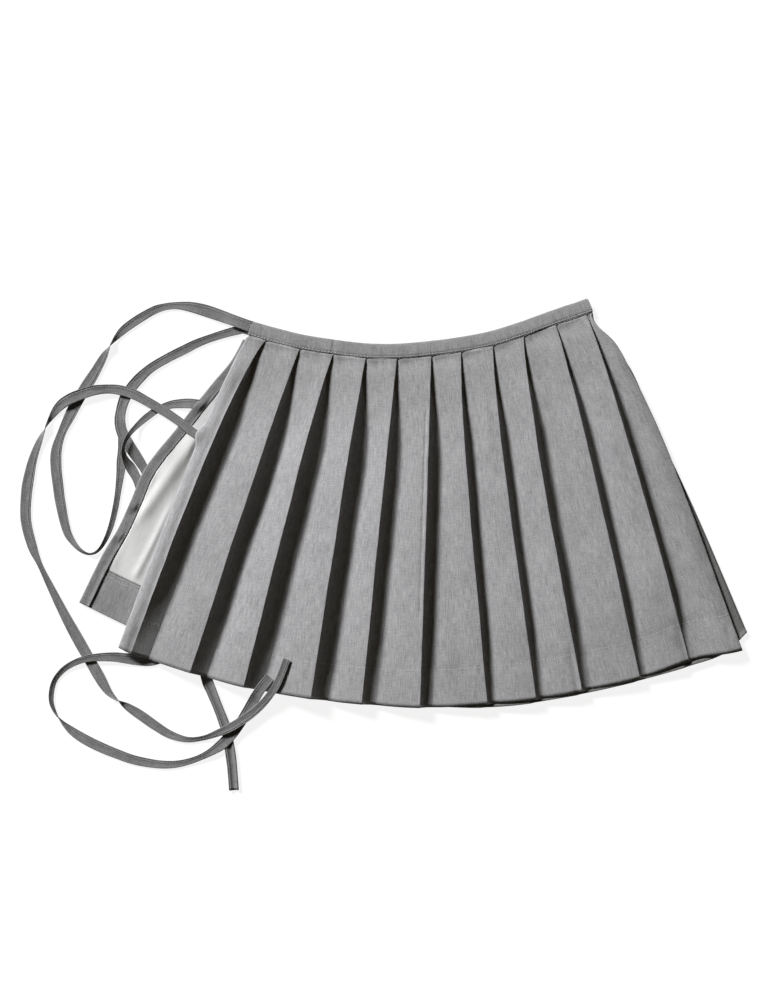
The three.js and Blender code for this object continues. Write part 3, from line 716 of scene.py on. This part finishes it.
def face_slope(start, fold):
    """Slope of the straight line from a face's first point to its fold."""
    x, y = fold["place"]
    ax, ay = fold["across"]
    return atan2(fold["top"] - start[2], (x - start[0]) * ax + (y - start[1]) * ay)


FACE_STEPS = 16
FACE_BIAS = 1.7
WALL_STEPS = 7
ARC_STEPS = 5


def pleat_section(fold):
    outer_away, outer_z = -FOLD_RADIUS, fold["top"] - FOLD_RADIUS
    inner_away, inner_z = fold["offset"] + FOLD_RADIUS, fold["valley"] + FOLD_RADIUS
    dx, dz = inner_away - outer_away, inner_z - outer_z
    wall = atan2(dz, dx) - asin(2 * FOLD_RADIUS / hypot(dx, dz))
    heading = wall - tau if wall > 0 else wall
    hollow = radians(WALL_HOLLOW) * fold["opened"] * fold["hollow"]
    flatter = min(hollow, max(0.0, -heading - radians(3)))
    over = fold_arc(fold, outer_away, outer_z, fold["slope"], heading - hollow, -1, ARC_STEPS)
    under = fold_arc(fold, inner_away, inner_z, heading + flatter, 0, 1, ARC_STEPS - 1)
    return [*over, *stretch(over[-1], under[0], WALL_STEPS), *under, face_foot(fold)]


EDGE_ROLL = 1.6  # height of the right edge at the waist, where it is turned down


def right_edge(foot, share, last_fold):
    x, y = fold_line(RIGHT_EDGE, share)
    rise = (RIGHT_HEIGHT - FRONT_BASE - EDGE_ROLL) * ease_out(share / HIGH_BY)
    top = last_fold["valley"] + EDGE_ROLL + rise
    ax, ay = last_fold["across"]

    def at(away, z, degrees):
        return [x + ax * away, y + ay * away, z, (ax, ay), radians(degrees)]

    crest, roll = at(-2.0, top, -12), at(-0.9, top - 0.6, -50)
    end = at(-0.6, last_fold["valley"], -78)
    face = [*stretch(foot, crest, FACE_STEPS), crest]
    return face, [*stretch(crest, roll, 3), roll, *stretch(roll, end, 5), end]


def front_section(share):
    """Points across the panel, with what placed() adds to each."""
    folds = [fold_state(i, share) for i in range(len(PLEATS))]
    x, y = fold_line(LEFT_EDGE, share)
    lift = max(lift_at(x, y), lift_at(x + TUCKED_UNDER, y))
    start = [x, y, LEFT_BASE + CLOTH / 2 + lift, folds[0]["across"], radians(4)]
    points = []
    for i, fold in enumerate(folds):
        slope, bow = face_slope(start, fold), radians(FACE_BOW) * fold["opened"]
        start[4], fold["slope"] = slope + bow, slope - bow
        crest = face_crest(fold)
        wall = pleat_section(fold)
        face = [start, *stretch(start, crest, FACE_STEPS, FACE_BIAS), crest]
        points += placed(face, wall[:-1], i, folds)
        start = wall[-1]
    face, rolled = right_edge(start, share, folds[-1])
    return points + placed([start, *face], rolled, len(folds), folds)


def placed(face, wall, index, folds):
    """Adds to each point the face's number, how far it lies past the face's crest, less than 0
    on the face itself, and how far it lies past the fold before the face."""
    reach, back = 0.0, []
    for near, far in zip([face[-1], *face[:0:-1]], face[::-1]):
        reach -= dist(near[:3], far[:3])
        shown = FACE_PITCH
        if index:
            x, y = folds[index - 1]["place"]
            ax, ay = folds[index - 1]["across"]
            shown = (far[0] - x) * ax + (far[1] - y) * ay
        back.append([*far, index, reach, shown])
    ahead, reach = [], 0.0
    for near, far in zip([face[-1], *wall], wall):
        reach += dist(near[:3], far[:3])
        ahead.append([*far, index, reach, 0.0])
    return back[::-1] + ahead


def moved(point, distance, raised, pushed):
    """A cloth point off the middle of the cloth, then raised and pushed across the pleats."""
    x, y, z, (ax, ay), heading = point[:5]
    side = pushed - sin(heading) * distance
    return (x + ax * side, y + ay * side, z + raised + cos(heading) * distance)


NEAR_WAIST = 0.13  # share of the length down to which the rows lie closer
NEAR_ROWS, FAR_ROWS = 22, 74


def front_rows():
    """Shares of the length: close together near the waist, where the pleats open."""
    near = [NEAR_WAIST * i / NEAR_ROWS for i in range(NEAR_ROWS)]
    return near + evenly(NEAR_WAIST, 1, FAR_ROWS)


FRONT_LENGTH = 390  # mm from waist seam to hem, for the weave's scale
HEM_STITCH = 40  # mm from hem to its stitching
FACE_PITCH = 90  # mm of cloth from one fold to the next


# Small folds and dents: [face, mm past its fold, share from, share to, half width, height].
FACE_DETAILS = [
    [5, -2.6, 0.16, 0.74, 1.0, -0.9],
    [11, 0.0, 0.15, 0.95, 9.0, -1.2],
    [11, -7.0, 0.90, 0.99, 1.6, -0.9],
    [11, -4.5, 0.90, 0.99, 1.6, 0.5],
    [0, -1.0, 0.12, 1.1, 6.0, -1.3],
    [3, -20, 0.90, 0.93, 1.5, -0.8],
    [3, -6, 0.90, 0.93, 1.5, -0.9],
    [2, -12, 0.05, 0.25, 6.0, -0.4],
    [7, -12, 0.0, 0.3, 5.0, 0.5],
    [9, -24, 0.1, 0.6, 9.0, -0.8],
    [10, -18, 0.3, 0.8, 9.0, 0.8],
    [6, -25, 0.5, 0.95, 10.0, -0.7],
    [8, -20, 0.55, 0.95, 8.0, -0.6],
    [8, -3.5, 0.88, 1.1, 3.0, -0.9],
    [10, 0.0, 0.88, 1.1, 5.5, -1.4],
]


LEVEL_BY = 0.024  # share of the length by which the faces leave the level that they are sewn at
EDGE_STANDS = [4.4, 26]  # mm that the panel's free edge stands up, and how far in that reaches
TIE_C_TAB = [0.318, 10, 9, 5.5, 2.5]  # share of the left edge, half length, width, push, rise in mm


def over_tie_c(from_edge, share):
    """The left edge reaches out over the end of the tie that is sewn under it."""
    at, half, width, push, rise = TIE_C_TAB
    size = bump((share - at) * FRONT_LENGTH, half) * (1 - smooth(from_edge / width))
    return rise * size, -push * size


CALM_BY = 0.12  # share of the length by which the cloth is as uneven as it gets
SOFT_RAISED = [[0.55, 60, 1.0], [0.3, 24, 2.0]]  # [height, size, seed]
SOFT_PUSHED = [[0.7, 70, 3.0], [0.25, 22, 4.0]]
FACE_APART = 40  # mm from one face to the next in SOFT_PUSHED, so that each fold wanders by itself
GATHERS = [[0.25, 3.0, 5.0]]  # fine ripples that run down from the band, and where they are
GATHERS_AT = [0.015, 0.045]
PAST_FOLD = [0.6, 1.6]  # [mm from a fold, mm over which] a face's own form starts, then ends
ON_FACE = [1.0, 3]
DETAIL_FADE = 0.06  # share of the length over which a detail fades at its ends
HEM_GROOVE = [0.4, 1.8]  # height and half width of the hem's stitched groove and its puckers
HEM_PUCKERS = [0.7, 6]


def uneven(point, share, from_edge):
    """Softness of the panel: how far it is raised, and pushed across its pleats (mm)."""
    x, y = point[0], point[1]
    face, past, shown = point[5:8]
    calm = smooth(share / CALM_BY)
    level = max(0.0, WAIST_BASE + CLOTH / 2 + 2 * PITCH - point[2])
    raised = level * (1 - smooth(share / LEVEL_BY)) * rising(shown, *PAST_FOLD)
    raised += calm * ripples(SOFT_RAISED, x, y)
    pushed = calm * ripples(SOFT_PUSHED, face * FACE_APART, share * FRONT_LENGTH)
    on_face = rising(-past, *ON_FACE)
    raised += ripples(GATHERS, x, y * 0.25) * bump(share - GATHERS_AT[0], GATHERS_AT[1]) * on_face
    for number, place, start, end, half, height in FACE_DETAILS:
        if number == face:
            within = smooth((share - start) / DETAIL_FADE + 0.5)
            within *= smooth((end - share) / DETAIL_FADE + 0.5)
            raised += height * bump(past - place, half) * within
    to_hem = (1 - share) * FRONT_LENGTH
    seam, around = (bump(to_hem - HEM_STITCH, half) for half in (HEM_GROOVE[1], HEM_PUCKERS[1]))
    puckers = HEM_PUCKERS[0] * around * ripple(x, y * 0.35, 3.6, 7.0)
    raised += on_face * (-HEM_GROOVE[0] * seam + puckers)
    if face == 0:
        tab = over_tie_c(from_edge, share)
        edge = EDGE_STANDS[0] * calm * (1 - smooth(from_edge / EDGE_STANDS[1]))
        return raised + tab[0] + edge, pushed + tab[1]
    return raised, pushed


def make_front_panel(material, thread):
    shares = front_rows()
    grid = []
    for share in shares:
        row, section = [], front_section(share)
        for point in section:
            soft = uneven(point, share, point[6] - section[0][6])
            upper, lower = (moved(point, side * SHOWN_CLOTH / 2, *soft) for side in (1, -1))
            along = (point[5] * FACE_PITCH + point[6]) * MM
            row.append((upper, lower, (along, share * FRONT_LENGTH * MM)))
        grid.append(row)
    panel = shell("front_panel_cloth", grid, material)
    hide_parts("front_panel")
    hem_stitches(shares, grid, thread)


def hem_stitches(shares, grid, thread):
    goal = 1 - HEM_STITCH / FRONT_LENGTH
    r = min(range(len(shares)), key=lambda i: abs(shares[i] - goal))
    line = [upper for upper, _, _ in grid[r]]
    seam = []
    for a, b in zip(line, line[1:]):
        step = Vector(b) - Vector(a)
        across = Vector((-step.z * step.x, -step.z * step.y, step.x ** 2 + step.y ** 2))
        seam.append((a, tuple(across.normalized()) if across.length else (0, 0, 1)))
    seam.append((line[-1], (0, 0, 1)))
    thread_dashes("front_hem_stitches", [seam], thread,
                  length=2.2, gap=1.9, radius=0.22, proud=0.08)


# ---- under panel
def lift_at(x, y):
    ax, ay = LIFT_TO[0] - LIFT_FROM[0], LIFT_TO[1] - LIFT_FROM[1]
    length = hypot(ax, ay)
    ax, ay = ax / length, ay / length
    dx, dy = x - LIFT_FROM[0], y - LIFT_FROM[1]
    along = dx * ax + dy * ay
    half = mix(LIFT_NARROW, LIFT_WIDE, clamp(along / length))
    beyond = max(abs(dx * ay - dy * ax) - half, -along - LIFT_NARROW)
    return LIFT * (1 - smooth(beyond / LIFT_FADE))


def under_point(inward, share):
    """A point of the under panel: distance in from its outer edge, share of the way to the hem."""
    left, right = under_left.at(share), under_right.at(share)
    across = clamp(inward / dist(right, left))
    first, last = beside_seam(0, 0), beside_seam(1, 0)
    seam, hem = beside_seam(across, 0), under_hem.at(across)
    out = []
    for k in (0, 1):
        top_bend = seam[k] - mix(first[k], last[k], across)
        hem_bend = hem[k] - mix(UNDER_HEM[0][k], UNDER_HEM[-1][k], across)
        out.append(mix(left[k], right[k], across) + mix(top_bend, hem_bend, share))
    return out


def over_under(inward, share, z):
    x, y = under_point(inward, share)
    return (x, y, z + lift_at(x, y))


def front_edge_inward(share):
    inward = 0.0
    while inward < WIDEST_SHOWN:
        x, y = under_point(inward, share)
        down = clamp((LEFT_EDGE[1] - y) / (LEFT_EDGE[1] - LEFT_EDGE[3]))
        if x >= fold_line(LEFT_EDGE, down)[0]:
            return inward
        inward += 0.5
    return WIDEST_SHOWN


def layer(name, shares, columns_at, bottom, top, material, relief, lifted=False):
    """A layer on the under panel; relief moves its upper side, or both sides if it is lifted."""
    grid = []
    for share in shares:
        row = []
        for inward in columns_at(share):
            x, y, z = over_under(inward, share, top)
            rise = relief(inward, share, x, y)
            down = (x, y, z - top + bottom + (rise if lifted else 0))
            row.append(((x, y, z + rise), down, (inward * MM, share * under_left.length * MM)))
        grid.append(row)
    return shell(name, grid, material), grid


BACK_HEM_RISE = 1.9  # mm that the hem behind stands up, where it shows below the front one
HEM_LIP = 1.1  # mm that its last few mm turn up besides
HEM_ROWS = 0.985  # share of the length from which its rows lie close together
UNDER_PLEATS = 0.7  # share of a pleat's height that the hem behind rises into it
# Where the hem and the right edge behind rise: [from, over], in shares of the length or in mm.
HEM_RISES, HEM_RISES_FROM_LEFT = [0.9, 0.08], [10, 60]
LIP_RISES, LIP_RISES_FROM_LEFT = [0.985, 0.012], [40, 40]
EDGE_RISES, EDGE_RISES_TO_RIGHT = [0.2, 0.2], [-45, 20]
EDGE_SHARE, HEM_LOST = 0.3, 0.7  # the edge's share of the hem's rise, and what the hem loses by it
PLEAT_FREE = [0.95, 1.15]  # most of a pleat's height that is free, how fast that grows to its fold
PLEAT_SHUT = [0.86, 0.1]  # and where, as shares of the face, it shuts again at the fold


def pleat_above(x, y):
    """Height that the front panel's pleat leaves free over its valley, at a point near the hem."""
    for i in range(len(PLEATS)):
        before, after = FOLD_ROWS[i + 1], FOLD_ROWS[i + 2]
        share, share_after = ((row[1] - y) / (row[1] - row[3]) for row in (before, after))
        start = fold_line(before, min(share, 1))[0] + before[5] + 2
        end = fold_line(after, min(share_after, 1))[0]
        if start <= x < end:
            if i + 1 == len(PLEATS):
                return 0.0
            fold = fold_state(i + 1, min(share_after, 1))
            along = (x - start) / (end - start)
            free = min(PLEAT_FREE[0], PLEAT_FREE[1] * along)
            return (fold["top"] - fold["valley"]) * free * (1 - rising(along, *PLEAT_SHUT))
    return 0.0


def make_back_panel(material):
    finer_from = EDGE_TURN + 160

    def columns(share):
        width = dist(under_right.at(share), under_left.at(share))
        return evenly(EDGE_TURN, finer_from, 30) + evenly(finer_from, width, 190)[1:]

    def relief(inward, share, x, y):
        past_right = x - under_right.at(share)[0]
        at_edge = rising(share, *EDGE_RISES) * rising(past_right, *EDGE_RISES_TO_RIGHT)
        at_hem = rising(share, *HEM_RISES) * rising(x, *HEM_RISES_FROM_LEFT)
        waves = UNDER_PLEATS * pleat_above(x, y) * at_hem if at_hem else 0.0
        lip = HEM_LIP * rising(share, *LIP_RISES) * rising(x, *LIP_RISES_FROM_LEFT)
        rise = max(at_hem * (1 - HEM_LOST * at_edge), EDGE_SHARE * at_edge)
        return BACK_HEM_RISE * rise + waves + lip

    shares = evenly(0.9 / under_left.length, HEM_ROWS, 66) + evenly(HEM_ROWS, 1, 6)[1:]
    panel, _ = layer("back_panel_cloth", shares, columns, 0, CLOTH, material, relief, lifted=True)
    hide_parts("back_panel")


def beside_binding(steps):
    def columns(share):
        start = BINDING_WIDTH + LAY_GAP
        return evenly(start, max(front_edge_inward(share) + TUCKED_UNDER, start + 2), steps)
    return columns


# Soft folds of the lining: [x0, y0, x1, y1, half width, height]; below 0 is a trough.
LINING_FOLDS = [
    [-246, 62, -292, -4, 8, 2.1],
    [-268, -9, -303, -76, 4, 1.1],
    [-315, -18, -332, -58, 6, 1.2],
    [-285, 20, -318, -30, 5, -0.7],
]


def fold_relief(folds, x, y):
    total = 0.0
    for x0, y0, x1, y1, half, height in folds:
        dx, dy = x1 - x0, y1 - y0
        size = hypot(dx, dy)
        along = ((x - x0) * dx + (y - y0) * dy) / size
        off = abs((x - x0) * dy - (y - y0) * dx) / size
        past = max(-along, along - size, 0)
        total += height * bump(off, half) * bump(past, half * 2)
    return total


def make_lining(material):
    def relief(inward, share, x, y):
        under_front = rising(front_edge_inward(share) - inward, -3, 9)
        at_binding = rising(inward, BINDING_WIDTH, 5)
        low = 0.12 * ripple(x, y, 22, 11.0)
        return (fold_relief(LINING_FOLDS, x, y) + low) * under_front * at_binding

    shares = evenly(LINING_START, FACING_START - SEAM_GAP / under_left.length, 110)
    bottom = CLOTH + LAY_GAP
    lining, _ = layer(
        "lining_cloth", shares, beside_binding(28), bottom, bottom + LINING, material, relief)
    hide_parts("lining")


FACING_STITCH = 4.5  # mm below the facing's upper edge
FACING_ROWS = 60


def make_facing(material, thread):
    def relief(inward, share, x, y):
        from_top = (share - FACING_START) * under_left.length
        turned = 0.22 * rising(from_top, 0.2, 1.2)
        stitch = -0.2 * bump(from_top - FACING_STITCH, 0.9)
        return turned + stitch + 0.1 * ripple(x, y, 9, 14.0)

    bottom = CLOTH + LAY_GAP
    facing, grid = layer(
        "hem_facing_cloth", evenly(FACING_START, 1, FACING_ROWS), beside_binding(28),
        bottom, bottom + LINING, material, relief)
    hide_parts("hem_facing")
    row = round(FACING_STITCH / under_left.length / (1 - FACING_START) * FACING_ROWS)
    seam = [(upper, (0, 0, 1)) for upper, _, _ in grid[row][2:]]
    thread_dashes("facing_stitches", [seam], thread, length=1.8, gap=1.4, radius=0.2)


# Dents across the binding: [share of its length, half width in mm, depth]; below 0 is a hump.
BINDING_DENTS = [
    [0.135, 5, 0.5], [0.165, 4, 0.6], [0.65, 6, -2.2], [0.68, 5, 0.8], [0.755, 7, -2.0],
    [0.787, 5, 0.8],
]
DENT_DEPTH = 0.8
BINDING_STITCHED = 3  # the point of its profile that carries the stitches
# Where dents and the hump over tie D fade, and where the inner edge lies loose: [from, over].
DENT_FADES, HUMP_FADES, EDGE_LOOSE = [7, 4], [6.5, 5], [7, 5]
LOOSE_TO_HEM = [1.2, 0.7, 0.25]  # mm that it stands up, shares of the length from and over
TIE_D_HUMP = [93, 2.2, 9]  # mm along the binding, rise and half length, over the sewn-in tie


def dents(table, place, length):
    return sum(depth * bump(place - at * length, half) for at, half, depth in table)


def make_binding(material, thread):
    bottom = CLOTH + LAY_GAP
    top = bottom + CLOTH
    inner, foot = EDGE_TURN - 0.6, 0.1
    profile = [
        (BINDING_WIDTH, bottom + 0.25), (BINDING_WIDTH + 0.1, top + 0.1),
        (BINDING_WIDTH - 0.5, top + 0.3), (10.5, top + 0.1), (9, top + 0.05), (7.5, top + 0.08),
        (6, top + 0.1), (4.5, top + 0.1), (3, top + 0.05), (1.8, top), (1.0, top - 0.15),
        (0.4, top - 0.6), (0.1, top - 1.2), (0, foot + 0.3), (0.3, foot), (inner, foot),
        (inner, bottom), (4, bottom), (8, bottom),
    ]
    rings, uvs, seam = [], [], []
    for share in evenly(BINDING_START, 1, 220):
        ring, row = [], []
        place = share * under_left.length
        over_tie = TIE_D_HUMP[1] * bump(place - TIE_D_HUMP[0], TIE_D_HUMP[2])
        for inward, z in profile:
            x, y, height = over_under(inward, share, z)
            height += over_tie * (1 - rising(inward, *HUMP_FADES))
            if z > bottom + 0.5:
                dent = dents(BINDING_DENTS, place, under_left.length)
                stands, *loosening = LOOSE_TO_HEM
                loose = stands * rising(share, *loosening) * rising(inward, *EDGE_LOOSE)
                dent *= DENT_DEPTH * (1 - rising(inward, *DENT_FADES))
                height += -dent + 0.1 * ripple(x, y, 8, 17.0) + loose
            ring.append((x, y, height))
            row.append(((inward + (40 if z <= bottom else 0)) * MM, share * under_left.length * MM))
        rings.append(ring)
        uvs.append(row)
        seam.append((ring[BINDING_STITCHED], (0, 0, 1)))
    binding = loft("edge_binding_cloth", rings, material, uvs)
    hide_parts("edge_binding")
    thread_dashes("binding_stitches", [seam], thread, length=1.8, gap=1.3, radius=0.18)


# ---- waistbands
BAND_STITCH = 1.6  # mm above the lower edge
BAND_STITCHED = 6  # the point of its profile that carries the stitches
BAND_RIM = 0.0004  # share of the length from its end to the next ring, so that the end stays crisp
BAND_CORNER = 3  # mm, radius of the corner at its end
CORNER_FROM = 0.992  # share of the length from which the rings lie close for that corner
BAND_ROUND = 1.1  # mm below its top at which its rounded edges start
BAND_CREASES = [[0.243, 1.7, 1.0], [0.03, 4, 0.35], [0.62, 6, 0.25], [0.87, 5, 0.3]]
CREASE_DEPTH = 0.5
BAND_UNEVEN = [[0.12, 7, 21.0], [0.15, 25, 22.0]]  # [height, size, seed]


def make_band(name, node, bottom, top, start, material, thread=None):
    low, high = SEAM_GAP, SEAM_GAP + BAND_WIDTH
    edge = top - BAND_ROUND
    profile = [
        (low, bottom + 0.4), (low, edge - 0.4), (low + 0.15, edge), (low + 0.45, edge + 0.2),
        (low + 0.9, edge + 0.3), (low + BAND_STITCH - 0.35, edge + 0.3),
        (low + BAND_STITCH, edge + 0.14), (low + BAND_STITCH + 0.35, edge + 0.34),
        (low + 4.5, edge + 0.42), (low + 8, edge + 0.4), (low + 12, edge + 0.32),
        (high - 1.2, edge + 0.2), (high - 0.4, edge + 0.05), (high - 0.05, edge - 0.3),
        (high, bottom + 0.5), (high - 0.5, bottom), (low + 8, bottom), (low + 0.5, bottom),
    ]
    rings, uvs, seam = [], [], []
    shares = [start] + evenly(start + BAND_RIM, CORNER_FROM, 226) + evenly(CORNER_FROM, 1, 8)[1:]
    for share in shares:
        ring, row = [], []
        place = share * seam_curve.length
        turn = clamp(1 - (seam_curve.length - place) / BAND_CORNER)
        kept = 1 - BAND_CORNER * (1 - (1 - turn * turn) ** 0.5) / BAND_WIDTH
        for away, z in profile:
            away = low + (away - low) * kept
            x, y = beside_seam(share, away)
            if z > edge - 0.6:
                crease = dents(BAND_CREASES, place, seam_curve.length)
                z += ripples(BAND_UNEVEN, x, y) - crease * CREASE_DEPTH
            ring.append((x, y, z))
            row.append((place * MM, away * MM + (0.05 if z < bottom + 0.3 else 0)))
        rings.append(ring)
        uvs.append(row)
        seam.append((ring[BAND_STITCHED], (0, 0, 1)))
    band = loft(name, rings, material, uvs)
    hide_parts(node)
    if thread:
        thread_dashes(name + "_stitches", [seam], thread,
                      length=2.1, gap=1.5, radius=0.34, proud=0.2)


# ---- materials
def set_inputs(node, **inputs):
    """Values of a node's sockets; a _ in a name stands for a space."""
    for key, value in inputs.items():
        node.inputs[key.replace("_", " ")].default_value = value
    return node


def new_material(name, **inputs):
    material = bpy.data.materials.new(name)
    material.use_nodes = True
    tree = material.node_tree
    return material, tree, set_inputs(tree.nodes["Principled BSDF"], **inputs)


ACROSS_THREADS = 850  # noise cells a metre across the threads; along them there are far fewer
RAMP_HALF = 0.12  # half the span of the weave's noise over which its colour goes from dark to light
# Share of the warp that the weft, the grain and the cloudy patches have, and the sum of all four.
WEFT, GRAIN, CLOUD, ALL_PARTS = 0.65, 0.5, 0.3, 2.45


def linen_material(name, dark, light, weave=0.5, rough=0.92):
    """Plain-weave linen in metres along the cloth: slubby threads both ways over a soft mottle."""
    material, tree, shader = new_material(
        name, Roughness=rough, Specular_IOR_Level=0.15, Sheen_Weight=0.12, Sheen_Roughness=0.5)
    link = tree.links.new
    uv = tree.nodes.new("ShaderNodeUVMap")
    uv.uv_map = "cloth"

    def slubs(scale_u, scale_v, detail, place):
        mapping = set_inputs(tree.nodes.new("ShaderNodeMapping"),
                             Scale=(scale_u, scale_v, 1), Location=(place, place, 0))
        link(uv.outputs["UV"], mapping.inputs["Vector"])
        texture = set_inputs(tree.nodes.new("ShaderNodeTexNoise"),
                             Scale=1.0, Detail=detail, Roughness=0.65)
        link(mapping.outputs["Vector"], texture.inputs["Vector"])
        return texture.outputs["Fac"]

    warp = slubs(ACROSS_THREADS, 70, 3, 0)
    weft = slubs(120, ACROSS_THREADS, 3, 7)
    grain = slubs(1500, 1500, 1, 13)
    cloud = slubs(42, 30, 3, 19)
    threads = combine(tree, "MULTIPLY_ADD", weft, WEFT, warp)
    fine = combine(tree, "MULTIPLY_ADD", grain, GRAIN, threads)
    mottled = combine(tree, "MULTIPLY_ADD", cloud, CLOUD, fine)
    mean = combine(tree, "MULTIPLY", mottled, 1 / ALL_PARTS)
    ramp = tree.nodes.new("ShaderNodeValToRGB")
    for stop, way, colour in zip(ramp.color_ramp.elements, (-1, 1), (dark, light)):
        stop.position = 0.5 + way * RAMP_HALF
        stop.color = (*colour, 1)
    link(mean, ramp.inputs["Fac"])
    link(ramp.outputs["Color"], shader.inputs["Base Color"])
    bumps = set_inputs(tree.nodes.new("ShaderNodeBump"), Strength=weave, Distance=0.0006)
    link(fine, bumps.inputs["Height"])
    link(bumps.outputs["Normal"], shader.inputs["Normal"])
    return material


def combine(tree, operation, first, second, third=None):
    node = tree.nodes.new("ShaderNodeMath")
    node.operation = operation
    for slot, value in enumerate((first, second, third)):
        if value is None:
            continue
        if hasattr(value, "is_linked"):
            tree.links.new(value, node.inputs[slot])
        else:
            node.inputs[slot].default_value = value
    return node.outputs[0]


# ---- floor and light
FLOOR_SIZE = 8
FLOOR_BELOW = 0.0005  # metres under the cloth
FLOOR_GREY, FLOOR_GLOW = 0.2, 0.87  # it glows, so that shadows on it are as faint as in the picture


def make_floor():
    bpy.ops.mesh.primitive_plane_add(size=FLOOR_SIZE, location=(0, 0, -FLOOR_BELOW))
    floor = bpy.context.object
    floor.name = "floor"
    material, _, _ = new_material(
        "pale_floor", Base_Color=(FLOOR_GREY, FLOOR_GREY, FLOOR_GREY, 1), Roughness=0.9,
        Emission_Color=(1, 1, 1, 1), Emission_Strength=FLOOR_GLOW)
    floor.data.materials.append(material)


SKY = (1.0, 0.84, 0.56, 1)  # warm, as the picture's deepest shadows are
SKY_STRENGTH = 0.035
KEY_AZIMUTH = 132  # degrees, from the picture's upper left
KEY_ELEVATION = 24
KEY_SOFTNESS = 13
KEY_STRENGTH = 6.2


def make_light():
    world = bpy.data.worlds.new("studio")
    bpy.context.scene.world = world
    world.use_nodes = True
    set_inputs(world.node_tree.nodes["Background"], Color=SKY, Strength=SKY_STRENGTH)
    data = bpy.data.lights.new("key", "SUN")
    data.angle = radians(KEY_SOFTNESS)
    data.energy = KEY_STRENGTH
    light = bpy.data.objects.new("key", data)
    light.rotation_euler = (0, radians(90 - KEY_ELEVATION), radians(KEY_AZIMUTH))
    bpy.context.collection.objects.link(light)


# ---- the scene
make_camera()
linen = linen_material("linen_grey", (0.21, 0.211, 0.218), (0.43, 0.431, 0.442))
# A darker copy of the panel's linen for the ties and the binding: painted shade of their rolled and
# folded edges, not a different cloth.
trim_linen_painted_shade = linen_material("linen_grey_trim_painted_shade", (0.13, 0.13, 0.132), (0.30, 0.30, 0.306))
inside_linen = linen_material("linen_grey_inside", (0.19, 0.19, 0.195), (0.40, 0.40, 0.41))
# A darker copy of the same linen for the back panel: painted shade where its edge and hem show in the
# front panel's shadow.
under_linen_painted_shade = linen_material("linen_grey_under_painted_shade", (0.105, 0.105, 0.105), (0.225, 0.225, 0.225))
pale_lining = linen_material(
    "lining_pale", (0.64, 0.65, 0.645), (0.78, 0.79, 0.785), weave=0.1, rough=0.7)
thread = linen_material("thread_grey", (0.42, 0.42, 0.43), (0.7, 0.7, 0.71), weave=0.2)

bpy.context.scene.view_settings.view_transform = "Standard"
tie_seams = [
    make_tie("tie_a", TIE_A, 0.58, trim_linen_painted_shade, 31.0),
    make_tie("tie_b", TIE_B, 0.61, trim_linen_painted_shade, 32.0, 125),
    make_tie("tie_c", TIE_C, 0.77, trim_linen_painted_shade, 33.0),
    make_tie("tie_d", TIE_D, 0.81, trim_linen_painted_shade, 34.0),
]
thread_dashes("tie_stitches", tie_seams, linen, length=1.7, gap=1.3, radius=0.14, proud=0.06)
make_back_panel(under_linen_painted_shade)
make_lining(pale_lining)
make_facing(inside_linen, thread)
make_binding(trim_linen_painted_shade, thread)
make_band("back_waistband_cloth", "back_waistband", 0, BACK_BAND_TOP,
          -BACK_BAND_REACH / seam_curve.length, linen)
make_band("front_waistband_cloth", "front_waistband", BAND_BOTTOM, BAND_TOP,
          -FRONT_BAND_REACH / seam_curve.length, linen, thread)
make_front_panel(linen, thread)
make_floor()
make_light()
